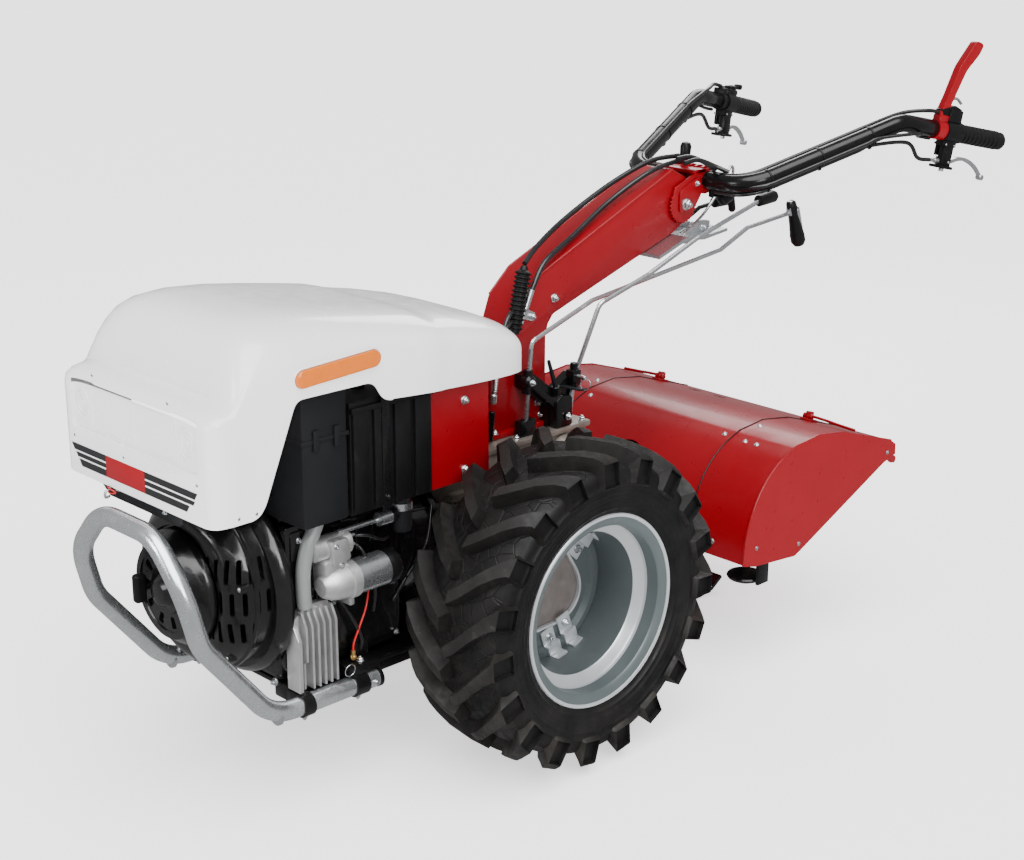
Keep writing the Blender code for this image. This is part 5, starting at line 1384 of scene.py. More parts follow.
def build_under_hood():
    """Battery, air filter box, fuel tank and the panels' bolts."""
    low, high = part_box("battery")
    case = Shape()
    case.box(low, (high.x - 0.006, high.y, high.z), 0.003)
    pitch = (high.y - low.y) / 4
    for k in range(4):
        start = low.y + k * pitch + 0.003
        case.box((high.x - 0.010, start, low.z + 0.004), (high.x, start + pitch - 0.011, high.z - 0.014),
                 0.003)
        case.turned([(0, 0.013), (0.006, 0.012), (0.007, 0.009)], (low.x + 0.070, start + pitch / 2, high.z),
                    (0, 0, 1), 20)
    case.box((high.x - 0.010, low.y, high.z - 0.018), (high.x + 0.001, high.y, high.z - 0.008), 0.002)
    ribbed = case.piece("battery_case", BLACK_PLASTIC, "frame")
    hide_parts("battery")
    strap = Shape()
    strap.box((high.x - 0.004, low.y + 0.060, low.z - 0.002), (high.x + 0.002, low.y + 0.076, high.z + 0.002),
              0.001)
    strap.bolt((high.x + 0.002, low.y + 0.068, low.z + 0.020), (1, 0, 0), 0.0042)
    strap.piece("battery_strap", BLACK, "frame")

    low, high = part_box("air_filter_box")
    box = Shape()
    box.box(low, high, 0.006)
    box.box((low.x + 0.004, low.y - 0.002, 0.640), (high.x + 0.002, high.y + 0.002, 0.648), 0.002)
    for y in (low.y + 0.020, high.y - 0.030):
        box.box((high.x - 0.001, y, 0.628), (high.x + 0.005, y + 0.012, 0.662), 0.0015)
    panel = box.piece("air_box", DARK_PLASTIC, "frame")
    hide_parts("air_filter_box")

    low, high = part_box("fuel_tank")
    tank = Shape()
    tank.box(low, high, 0.020, None, 4)
    tank.box((low.x - 0.002, low.y + 0.004, 0.598), (high.x + 0.002, high.y - 0.004, 0.604), 0.002)
    top = (low + high) / 2
    tank.turned([(0, 0.030), (0.008, 0.030), (0.009, 0.026), (0.020, 0.026), (0.022, 0.022)],
                (top.x, top.y, high.z - 0.001), (0, 0, 1), 32)
    moulded = tank.piece("moulded_tank", BLACK_PLASTIC, "frame")
    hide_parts("fuel_tank")

    screws = Shape()
    low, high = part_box("rear_panel")
    for side in (1, -1):
        for y, z in ((-0.118, 0.642), (-0.118, 0.520)):
            screws.bolt(at(side * high.x, y, z), (side, 0, 0), 0.0062)
    low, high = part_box("hood_latch_bracket")
    for x in (-0.100, -0.020, 0.060):
        screws.bolt((x, high.y - 0.030, high.z), (0, 0, 1), 0.0048)
    screws.piece("panel_bolts", ZINC, "frame")


def build_gearbox():
    """Clutch housing and gearbox, with ribs and bolts."""
    low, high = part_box("clutch_housing")
    spot = (low + high) / 2
    depth = high.y - low.y
    bell = Shape()
    bell.turned([(0, 0.1100), (0.001, 0.1180), (0.014, 0.1180), (0.016, 0.1130), (0.034, 0.1110),
                 (0.060, 0.1040),
                 (depth - 0.016, 0.0960), (depth - 0.012, 0.1040), (depth - 0.001, 0.1040), (depth, 0.1000)],
                (spot.x, low.y, spot.z), (0, 1, 0), 96)
    for k in range(10):
        turn = Matrix.Translation(spot) @ Matrix.Rotation(math.radians(k * 36 + 12), 4, "Y")
        bell.prism([(-depth / 2 + 0.012, 0.085), (depth / 2 - 0.012, 0.085), (depth / 2 - 0.012, 0.098),
                    (-depth / 2 + 0.012, 0.1145)], "X", -0.003, 0.003, 0.001, turn)
    housing = bell.piece("bell_housing", BLACK_CAST, "frame", 40)
    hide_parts("clutch_housing")
    bolts = Shape()
    for k in range(8):
        angle = math.radians(k * 45 + 20)
        ring = Vector((0.1080 * math.cos(angle), 0, 0.1080 * math.sin(angle)))
        bolts.bolt(Vector((spot.x, low.y + 0.0145, spot.z)) + ring, (0, 1, 0), 0.0050)
    bolts.piece("bell_bolts", ZINC, "frame")

    case = Shape()
    half = 0.082
    case.box(at(-half, -0.0995, 0.192), at(half, 0.2845, 0.430), 0.014, None, 3)
    case.box(at(-half + 0.004, -0.094, 0.425), at(half - 0.004, 0.279, 0.490), 0.006)
    case.box(at(-half - 0.003, -0.097, 0.4880), at(half + 0.003, 0.282, 0.4998), 0.003)
    case.box(at(-half - 0.010, -0.080, 0.4255), at(half + 0.010, 0.262, 0.4395), 0.003)
    case.box(at(-half - 0.006, -0.060, 0.205), at(half + 0.006, 0.240, 0.214), 0.003)
    for side in (1, -1):
        case.turned([(0, 0.060), (0.006, 0.060), (0.020, 0.0505), (0.068, 0.0480), (0.070, 0.0560),
                     (0.0785, 0.0560),
                     (0.0790, 0.0520)], at(side * 0.080, 0, WHEEL_RADIUS), (side, 0, 0), 48)
        reach = 0.107 if side > 0 else 0.100
        case.turned([(0, 0.034), (reach - 0.082, 0.0295), (reach - 0.080, 0.0285), (reach - 0.080, 0.0175),
                     (reach - 0.094, 0.0170)], at(side * 0.080, 0.215, 0.452), (side, 0, 0), 40)
        for y in (-0.055, 0.075, 0.150, 0.245):
            low_x, high_x = sorted((side * (half - 0.004), side * (half + 0.007)))
            case.box(at(low_x, y, 0.215), at(high_x, y + 0.007, 0.428), 0.002)
        for k in range(6):
            turn = about(at(0, 0, WHEEL_RADIUS), "X", 60 * k)
            low_x, high_x = sorted((side * 0.083, side * 0.142))
            case.box(at(low_x, -0.003, WHEEL_RADIUS + 0.044), at(high_x, 0.003, WHEEL_RADIUS + 0.056), 0.001,
                     turn)
    gearbox = case.piece("gearbox_case", CASTING, "frame", 35)
    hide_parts("transmission_case")
    bolts = Shape()
    for side in (1, -1):
        for y in (-0.078, 0.010, 0.098, 0.268):
            bolts.bolt(at(side * (half - 0.007), y, 0.4998), (0, 0, 1), 0.0055)
        for k in range(6):
            angle = math.radians(60 * k + 30)
            bolts.bolt(at(side * 0.1590, 0.0490 * math.cos(angle), WHEEL_RADIUS + 0.0490 * math.sin(angle)),
                       (side, 0, 0), 0.0035)
        bolts.bolt(at(side * (half + 0.001), 0.180, 0.270), (side, 0, 0), 0.0095)
        bolts.bolt(at(side * (half + 0.001), -0.030, 0.400), (side, 0, 0), 0.0070)
    bolts.piece("gearbox_bolts", ZINC, "frame")


def build_engine():
    """Engine, bumper, gearbox and what lies under the hood."""
    build_block()
    build_fan()
    build_units()
    build_wires()
    build_bumper()
    build_under_hood()
    build_gearbox()


# ---------------------------------------------------------------- column, rods and cables
def ring_loop(centre, axis, radius, wire, shape):
    """A small wire ring lying across an axis."""
    turn = Vector((0, 0, 1)).rotation_difference(Vector(axis)).to_matrix()
    points = [Vector(centre) + turn @ Vector((radius * math.cos(a), radius * math.sin(a), 0))
              for a in (2 * math.pi * k / 28 for k in range(29))]
    shape.sweep(points, wire, 8)


def build_column():
    """The red column with its cables and fittings."""
    low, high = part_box("column")
    half = high.x
    base = low.z
    outline = [(0.062, base), (0.062, 0.655), (0.118, 0.688), (0.138, 0.740), (0.190, 0.786), (0.545, 0.932),
               (0.585, 0.912), (0.585, 0.825), (0.555, 0.808), (0.225, 0.704)]
    outline += [(0.212, 0.688), (0.206, 0.668), (0.205, base)]
    column = Shape()
    column.prism(side_view(outline), "X", -half, half, 0.0045, None, 3)
    column.box(at(-half - 0.012, 0.052, base), at(half + 0.012, 0.215, base + 0.010), 0.002)
    for side in (1, -1):
        seam = [at(side * (half - 0.0012), y, z) for y,
                z in ((0.142, 0.7415), (0.192, 0.7850), (0.545, 0.9303))]
        column.sweep(seam, 0.0026, 10)
    body = column.piece("column_body", RED, "frame", 40)
    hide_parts("column")

    bolts = Shape()
    for side in (1, -1):
        for y, z, size in ((0.224, 0.735, 0.0066), (0.182, 0.545, 0.0062), (0.190, 0.520, 0.0052)):
            bolts.bolt(at(side * half, y, z), (side, 0, 0), size)
        bolts.bolt(at(side * (half + 0.006), 0.070, base + 0.010), (0, 0, 1), 0.0050)
        bolts.bolt(at(side * (half + 0.006), 0.200, base + 0.010), (0, 0, 1), 0.0050)
    bolts.prism(side_view(rounded_outline([(0.128, 0.722), (0.140, 0.734), (0.176, 0.716), (0.172, 0.700),
                                           (0.150, 0.708)],
                                          0.005)), "X", half, half + 0.003, 0.001)
    bolts.bolt(at(half + 0.003, 0.166, 0.711), (1, 0, 0), 0.0052)
    bolts.piece("column_bolts", ZINC, "frame")

    boot = Shape()
    top, bottom = BOOT_TOP, BOOT_BOTTOM
    length = (bottom - top).length
    profile = [(0, 0.0055), (0.004, 0.0070), (0.008, 0.0080)]
    count = 13
    for k in range(count):
        start = 0.010 + (length - 0.016) * k / count
        step = (length - 0.016) / count
        profile += [(start, 0.0112), (start + step * 0.30, 0.0142), (start + step * 0.55, 0.0142),
                    (start + step * 0.85, 0.0112)]
    profile += [(length, 0.0105)]
    boot.turned(profile, top, bottom - top, 40)
    for k in range(count):
        along = 0.010 + (length - 0.016) * (k + 0.42) / count
        spot = top + (bottom - top).normalized() * along
        for n in range(12):
            angle = 2 * math.pi * (n + 0.5 * (k % 2)) / 12
            side = (bottom - top).normalized().orthogonal().normalized()
            other = (bottom - top).normalized().cross(side)
            knob = spot + (side * math.cos(angle) + other * math.sin(angle)) * 0.0142
            boot.turned([(-0.001, 0.0017), (0.0008, 0.0015), (0.0014, 0.0008)], knob, knob - spot, 8)
    ribbed = boot.piece("ribbed_boot", RUBBER, "frame", 40)
    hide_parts("cable_sleeve")

    cables = Shape()
    routes = ((HANG_START, at(0.004, 0.520, 0.945), at(-0.006, 0.420, 0.912), at(-0.002, 0.300, 0.866),
               at(0.020, 0.205, 0.832), BOOT_TOP + Vector((0, 0, 0.004))),
              (HANG_START + Vector((0.012, 0.004, -0.004)), at(0.024, 0.500, 0.930), at(0.014, 0.400, 0.886),
               at(0.026, 0.290, 0.838), at(0.040, 0.205, 0.806), at(0.047, 0.168, 0.768),
               at(0.048, 0.150, 0.742)))
    for route in routes:
        cables.sweep(curve_through(route, 10), 0.0048, 14)
    for knots in (((0.046, 0.122, 0.700), (0.056, 0.104, 0.714), (0.066, 0.078, 0.704), (0.070, 0.034, 0.664),
                   (0.072, -0.030, 0.648)),
                  ((0.044, 0.130, 0.714), (0.050, 0.116, 0.730), (0.060, 0.090, 0.722), (0.068, 0.052, 0.672),
                   (0.074, -0.030, 0.636)),
                  ((0.050, 0.118, 0.690), (0.058, 0.096, 0.700), (0.064, 0.066, 0.680), (0.067, 0.020, 0.652),
                   (0.068, -0.030, 0.624))):
        cables.sweep(curve_through([at(*knot) for knot in knots], 8), 0.0040, 12)
    hung = cables.piece("column_cables", CABLE, "frame", 60)
    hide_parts("column_cable")
    sleeve = Shape()
    sleeve.rod(at(0.0475, 0.162, 0.762), at(0.0478, 0.146, 0.728), 0.0062, 20)
    sleeve.rod(at(0.0478, 0.146, 0.730), at(0.0478, 0.138, 0.700), 0.0026, 12)
    sleeve.piece("cable_adjuster", ZINC, "frame")


def build_selector():
    """Gear and range rods' joints, guides, springs and loops, on the column's left."""
    x = 0.0676    # the plane of the rods
    joint = Shape()
    joint.turned([(0, 0.008), (0.003, 0.013), (0.018, 0.013), (0.022, 0.009)], at(x - 0.010, 0.133, 0.600),
                 (1, 0, 0), 28)
    joint.rod(at(x, 0.130, 0.578), at(x, 0.135, 0.622), 0.0085)
    joint.prism(side_view([(0.130, 0.592), (0.137, 0.600), (0.228, 0.524), (0.222, 0.516)]), "X", x + 0.008,
                x + 0.0115, 0.001)
    joint.prism(side_view(rounded_outline([(0.192, 0.500), (0.192, 0.552), (0.206, 0.562), (0.234, 0.556),
                                           (0.234, 0.500)],
                                          0.006)), "X", 0.046, 0.084, 0.003)
    joint.rod(at(0.067, 0.208, 0.556), at(0.067, 0.206, 0.576), 0.0090, 20)
    joint.box(at(x - 0.009, 0.108, 0.500), at(x + 0.009, 0.148, 0.530), 0.003)
    joint.box(at(x - 0.010, 0.240, 0.574), at(x + 0.011, 0.262, 0.600), 0.003)
    joint.rod(at(x, 0.251, 0.566), at(x, 0.253, 0.612), 0.0074)
    joint.rod(at(0.060, 0.046, 0.505), at(0.062, 0.050, 0.560), 0.0058)
    joint.piece("selector_joints", BLACK, "frame")
    plate = Shape()
    plate.prism([(0.046, 0.216 + AXLE_Y), (0.046, 0.262 + AXLE_Y), (0.094, 0.262 + AXLE_Y),
                 (0.100, 0.236 + AXLE_Y)],
                "Z", 0.566, 0.5705, 0.001, about(at(0.07, 0.240, 0.568), "X", -12))
    plate.sweep([at(0.067, 0.206, 0.574), at(0.066, 0.188, 0.628)], 0.0040, 12, True, [0.0048, 0.0034])
    plate.piece("selector_plate", DARK_PLASTIC, "frame")
    zinc = Shape()
    zinc.sweep([at(x, 0.128, 0.506), at(x, 0.133, 0.590)], 0.0036, 12)
    zinc.sweep([at(x, 0.241, 0.504), at(x, 0.251, 0.572)], 0.0046, 12)
    zinc.turned([(0, 0.003), (0.002, 0.0044), (0.042, 0.0044), (0.044, 0.0066), (0.058, 0.0066),
                 (0.060, 0.0045)],
                at(0.0650, 0.058, 0.634), at(0.062, 0.050, 0.556) - at(0.0650, 0.058, 0.634), 20)
    for k in range(10):
        zinc.turned([(0, 0.0044), (0.0008, 0.0050), (0.0016, 0.0044)],
                    at(0.0650 - 0.00012 * k, 0.058 - 0.0003 * k, 0.626 - 0.003 * k),
                    (0, 0, -1), 14)
    zinc.rod(at(x + 0.010, 0.253, 0.588), at(x + 0.030, 0.253, 0.588), 0.0042)
    zinc.bolt(at(x + 0.012, 0.133, 0.600), (1, 0, 0), 0.0050)
    zinc.bolt(at(0.088, 0.218, 0.520), (1, 0, 0), 0.0052)
    zinc.bolt(at(x + 0.0115, 0.224, 0.524), (1, 0, 0), 0.0042)
    ring_loop(at(x + 0.030, 0.253, 0.576), (0.2, -1, 0.2), 0.0105, 0.0009, zinc)
    zinc.piece("selector_fittings", ZINC, "frame")

    grips = Shape()
    hand = [(0, 0.0060), (0.004, 0.0100), (0.016, 0.0112), (0.030, 0.0102), (0.050, 0.0118), (0.076, 0.0150),
            (0.090, 0.0148), (0.098, 0.0105), (0.1005, 0.0050)]
    grips.turned(hand, at(0.0896, 0.852, 0.836), Vector((0.004, 0.031, -0.097)), 32)
    grips.turned([(0, 0.006), (0.003, 0.0115), (0.048, 0.0125), (0.054, 0.0095), (0.056, 0.004)],
                 at(0.0976, 0.736, 0.852), Vector((0, 0.050, 0.004)), 28)
    grips.turned([(0, 0.006), (0.003, 0.0110), (0.040, 0.0125), (0.050, 0.0100), (0.052, 0.005)],
                 at(-0.020, 0.742, 0.832), Vector((0, 0.052, 0.002)), 28)
    grips.turned([(0, 0.004), (0.002, 0.0075), (0.050, 0.0075), (0.054, 0.0045)], at(0.022, 0.742, 0.872),
                 Vector((0, 0.010, -0.055)), 24)
    grips.piece("selector_knobs", BLACK_PLASTIC, "frame", 40)
    loops = Shape()
    loops.sweep(curve_through([at(0.034, 0.560, 0.793), at(0.032, 0.640, 0.822), at(0.027, 0.705, 0.872),
                               at(0.024, 0.735, 0.906),
                               at(0.022, 0.746, 0.910), at(0.022, 0.750, 0.900), at(0.022, 0.744, 0.868)], 8),
                0.0028, 12)
    loops.box(at(0.0836, 0.846, 0.806), at(0.0956, 0.862, 0.836), 0.0015)
    loops.prism(side_view(rounded_outline([(0.560, 0.786), (0.560, 0.806), (0.612, 0.828), (0.640, 0.822),
                                           (0.628, 0.790)],
                                          0.006)), "X", 0.056, 0.060, 0.001)
    loops.prism(side_view(rounded_outline([(0.575, 0.776), (0.575, 0.802), (0.650, 0.822), (0.668, 0.806),
                                           (0.640, 0.784)],
                                          0.006)), "X", -0.034, -0.030, 0.001)
    for y, z in ((0.575, 0.797), (0.618, 0.812)):
        loops.bolt(at(0.060, y, z), (1, 0, 0), 0.0048)
    for x_low in (-0.006, 0.040):
        loops.box(at(x_low, 0.600, 0.800), at(x_low + 0.008, 0.646, 0.812), 0.001)
    loops.piece("selector_linkage", ZINC, "frame", 40)


BOOT_TOP = at(0.040, 0.152, 0.806)
BOOT_BOTTOM = at(0.052, 0.112, 0.690)
HANG_START = at(0.018, 0.588, 0.950)


# ---------------------------------------------------------------- handlebar
BAR_TUBE = 0.0172               # radius of the bars
BAR_PIVOT = (0.572, 0.862)      # y and z of the handlebar's hinge line, from the axle
BAR_CROSS = (0.640, 0.900)      # y and z of the bars' cross tube


def bar_route(side):
    """The corners of one bar, from the cross tube to the grip's end."""
    return [at(side * 0.150, *BAR_CROSS), at(side * 0.262, 0.970, 1.000), at(side * 0.318, 1.236, 0.940)]


def bar_turn(side):
    """Places a shape made along Z, with Y as its upper side, at the handlebar's end."""
    end, before = bar_route(side)[2], bar_route(side)[1]
    direction = (end - before).normalized()
    up = (Vector((0, 0, 1)) - direction * direction.z).normalized()
    across = up.cross(direction)
    return Matrix.Translation(end) @ Matrix((across, up, direction)).transposed().to_4x4()


def move_all(shape, turn):
    """Move every point of a shape by a matrix."""
    bmesh.ops.transform(shape.bm, matrix=turn, verts=shape.bm.verts)


def build_bars():
    """The bars as one bent tube, with the grips and the units at their ends."""
    corners = [*reversed(bar_route(-1)), *bar_route(1)]
    tube = Shape()
    path = rounded_path(corners, 0.072, 14)
    ends = []
    for end, before in ((path[0], path[1]), (path[-1], path[-2])):
        direction = (before - end).normalized()
        ends.append([end, end + direction * 0.1650, end + direction * 0.1662])
    path = ends[0] + path[1:-1] + list(reversed(ends[1]))
    radii = [0.0155, 0.0155] + [BAR_TUBE] * (len(path) - 4) + [0.0155, 0.0155]
    tube.sweep(path, BAR_TUBE, 32, True, radii)
    bars = tube.piece("bar_tube", BLACK, "bar", 60)
    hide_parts("handlebar")
    for side, label in SIDES:
        build_bar_end(side, label)
        build_bar_cables(side, label)


def build_bar_end(side, label):
    """One bar's grip, with the blocks and levers beside it."""
    turn = bar_turn(side)
    grip = Shape()
    profile = [(-0.1250, 0.0162), (-0.1245, 0.0212), (-0.1190, 0.0212), (-0.1180, 0.0172)]
    for k in range(9):
        start = -0.1140 + k * 0.0118
        profile += [(start, 0.0165), (start + 0.0012, 0.0188), (start + 0.0078, 0.0188),
                    (start + 0.0090, 0.0165)]
    profile += [(-0.0070, 0.0180), (0.0010, 0.0178), (0.0050, 0.0150), (0.0065, 0.0090)]
    grip.turned(profile, (0, 0, 0), (0, 0, 1), 40)
    move_all(grip, turn)
    ribbed = grip.piece(label + "_ribbed_grip", RUBBER, "bar", 40)
    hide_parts(label + "_grip")

    block = Shape()
    block.turned([(-0.1660, 0.0165), (-0.1655, 0.0225), (-0.1260, 0.0225), (-0.1256, 0.0165)], (0, 0, 0),
                 (0, 0, 1), 32)
    block.box((-0.0120, -0.0300, -0.1640), (0.0120, 0.0240, -0.1280), 0.0025)
    block.box((-0.0140, -0.0720, -0.1600), (0.0020, -0.0160, -0.1340), 0.0030)
    block.box((-0.0200, -0.0740, -0.1620), (0.0180, -0.0680, -0.1320), 0.0015)
    block.box((0.0100, -0.0500, -0.1560), (0.0180, 0.0100, -0.1380), 0.0020)
    if side > 0:
        block.box((-0.0150, 0.0180, -0.1640), (0.0130, 0.0440, -0.1300), 0.0030)
        block.prism([(0.040, -0.186), (0.052, -0.150), (0.046, -0.130), (0.030, -0.134), (0.030, -0.180)],
                    "X", -0.010, 0.010, 0.002)
    else:
        block.box((-0.0130, 0.0180, -0.1500), (0.0150, 0.0300, -0.1180), 0.0030)
        block.turned([(0, 0.012), (0.002, 0.0135), (0.008, 0.0135), (0.010, 0.011)], (0.000, 0.028, -0.134),
                     (0, 1, 0), 24)
        block.box((-0.0060, 0.0340, -0.1340), (0.0050, 0.0400, -0.0960), 0.0025)
        block.box((-0.0090, 0.0330, -0.1020), (0.0090, 0.0450, -0.0900), 0.0035)
    move_all(block, turn)
    holder = block.piece(label + "_lever_holder", BLACK_PLASTIC, "bar", 40)
    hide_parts(label + "_lever_block")

    lever = Shape()
    knots = curve_through([Vector((0.004, -0.064, -0.1480)), Vector((0.004, -0.058, -0.1230)),
                           Vector((0.004, -0.050, -0.1000)),
                           Vector((0.004, -0.050, -0.0750)), Vector((0.004, -0.060, -0.0480)),
                           Vector((0.004, -0.078, -0.0250))], 6)
    rows = []
    for k, point in enumerate(knots):
        along = (knots[min(k + 1, len(knots) - 1)] - knots[max(k - 1, 0)]).normalized()
        thick = Vector((0, along.z, -along.y)) * (0.0042 - 0.0016 * k / len(knots))
        wide = Vector((0.0075 - 0.0030 * k / len(knots), 0, 0))
        rows.append([point - wide - thick * 0.5, point - wide * 0.8 - thick, point + wide * 0.8 - thick,
                     point + wide - thick * 0.5,
                     point + wide + thick * 0.5, point + wide * 0.8 + thick, point - wide * 0.8 + thick,
                     point - wide + thick * 0.5])
    made = lever.faces(rows)
    lever.cap(list(reversed(made[0])))
    lever.cap(made[-1])
    lever.rod((-0.0030, -0.0785, -0.0250), (0.0110, -0.0785, -0.0250), 0.0058)
    lever.rod((-0.0130, -0.0620, -0.1470), (0.0150, -0.0620, -0.1470), 0.0060)
    lever.prism([(-0.074, -0.158), (-0.052, -0.160), (-0.046, -0.130), (-0.070, -0.126)], "X", 0.0020, 0.0060,
                0.0010)
    lever.rod((-0.0050, -0.0600, -0.1620), (-0.0050, -0.0610, -0.1740), 0.0050)
    lever.rod((-0.0050, -0.0610, -0.1740), (-0.0050, -0.0615, -0.1880), 0.0034)
    lever.rod((-0.0050, -0.0740, -0.1480), (-0.0050, -0.0800, -0.1480), 0.0055, 6)
    if side > 0:
        lever.rod((0.0000, 0.0330, -0.1640), (0.0000, 0.0325, -0.1800), 0.0045)
        lever.sweep(curve_through([(0.006, 0.046, -0.170), (0.006, 0.060, -0.156), (0.006, 0.066, -0.138),
                                   (0.006, 0.058, -0.122)], 6),
                    0.0030, 10)
    bmesh.ops.recalc_face_normals(lever.bm, faces=lever.bm.faces)
    move_all(lever, turn)
    blade = lever.piece(label + "_brake_blade", ZINC, "bar", 40)
    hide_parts(label + "_brake_lever")

    screws = Shape()
    for y, z in ((0.012, -0.158), (0.012, -0.134), (-0.026, -0.158), (-0.026, -0.134), (-0.060, -0.147)):
        screws.bolt((0.0182 if y < 0.02 and y > -0.05 else 0.003, y, z), (1, 0, 0), 0.0026, "round", False)
        screws.bolt((-0.0202 if y < -0.05 else -0.0142, y, z), (-1, 0, 0), 0.0026, "round", False)
    move_all(screws, turn)
    screws.piece(label + "_lever_screws", ZINC, "bar")

    extra = Shape()
    start = -0.1656
    if side > 0:
        extra.turned([(start - 0.024, 0.0160), (start - 0.0236, 0.0200), (start - 0.0006, 0.0200),
                      (start - 0.0002, 0.0160)],
                     (0, 0, 0), (0, 0, 1), 28)
        extra.box((-0.0110, 0.0140, start - 0.022), (0.0110, 0.0300, start + 0.004), 0.003)
        outline = rounded_outline([(0.018, start - 0.024), (0.020, start + 0.004), (0.034, start + 0.016),
                                   (0.048, start + 0.002),
                                   (0.062, start + 0.006), (0.122, start + 0.024), (0.160, start + 0.050),
                                   (0.180, start + 0.056), (0.184, start + 0.034), (0.128, start + 0.004),
                                   (0.066, start - 0.010), (0.040, start - 0.018)], 0.008)
        extra.prism(outline, "X", -0.0085, 0.0085, 0.0035, None, 3)
    else:
        extra.turned([(start - 0.020, 0.0160), (start - 0.0196, 0.0190), (start - 0.0006, 0.0190),
                      (start - 0.0002, 0.0160)],
                     (0, 0, 0), (0, 0, 1), 28)
        extra.box((-0.0140, 0.0100, start - 0.019), (0.0140, 0.0290, start - 0.001), 0.003)
        extra.rod((0.0, 0.028, start - 0.010), (0.0, 0.033, start - 0.010), 0.0065)
    move_all(extra, turn)
    node, material, slot = (("dead_man_lever", RED, "red_paint") if side > 0 else
                            ("throttle_lever", BLACK_PLASTIC, "black_plastic"))
    piece = extra.piece(node + "_body", material, "bar", 40)
    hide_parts(node)


def build_bar_cables(side, label):
    """Cables strapped along the bar, leaving it for the levers' adjusters."""
    root, bend, end = bar_route(side)
    turn = bar_turn(side)
    cables = Shape()
    lanes = ((Vector((0, 0, -0.0205)), Vector((-0.005, -0.0615, -0.186)), 0.0040),
             (Vector((-side * 0.014, 0, 0.0150)), Vector((0.0, 0.0325, -0.178)), 0.0040),
             (Vector((side * 0.020, 0, -0.0040)), Vector((0.014, -0.020, -0.180)), 0.0036))
    start = at(side * 0.068, *BAR_CROSS)
    along_end = bend.lerp(end, 0.16)
    for offset, target, radius in lanes:
        path = rounded_path([start, root, root.lerp(bend, 0.72)], 0.060, 8)
        path = [point + offset for point in path]
        goal = turn @ target
        before = turn @ (target + Vector((0, 0, -0.034)))
        leave = root.lerp(bend, 0.80) + offset
        drop = bend.lerp(along_end, 0.4) + offset * 1.25 + Vector((0, 0, -0.012 if target.y < 0 else 0.0))
        path = path[:-1] + curve_through([path[-1], leave, drop, before, goal], 8)
        cables.sweep(path, radius, 12)
    if side > 0:
        cables.sweep(curve_through([at(0.068, 0.640, 0.9205), at(0.057, 0.622, 0.936),
                                    at(0.0450, 0.592, 0.950), at(0.0420, 0.556, 0.9500)], 6),
                     0.0046, 12)
        cables.sweep(curve_through([at(0.092, 0.650, 0.9190), at(0.072, 0.634, 0.930),
                                    at(0.0560, 0.602, 0.944), at(0.0530, 0.564, 0.9420)], 6),
                     0.0046, 12)
        cables.sweep(curve_through([at(0.075, 0.655, 0.8780), at(0.120, 0.700, 0.8850),
                                    at(0.170, 0.770, 0.9180), at(0.215, 0.880, 0.962)], 8),
                     0.0042, 12)
    else:
        cables.sweep(curve_through([at(-0.068, 0.640, 0.8790), at(-0.110, 0.625, 0.872),
                                    at(-0.150, 0.640, 0.870), at(-0.172, 0.690, 0.893)], 8), 0.0042, 12)
    strapped = cables.piece(label + "_cables", CABLE, "bar", 60)
    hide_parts(label + "_bar_cable")
    ties = Shape()
    for share in (0.12, 0.45, 0.78):
        spot = root.lerp(bend, share)
        direction = (bend - root).normalized()
        for radius, drop in ((BAR_TUBE + 0.0012, 0.0), (0.0062, 0.0205)):
            ties.turned([(0, radius - 0.001), (0.0004, radius), (0.0040, radius), (0.0044, radius - 0.001)],
                        spot - Vector((0, 0, drop)), direction, 32)
    ties.piece(label + "_cable_ties", BLACK_PLASTIC, "bar")


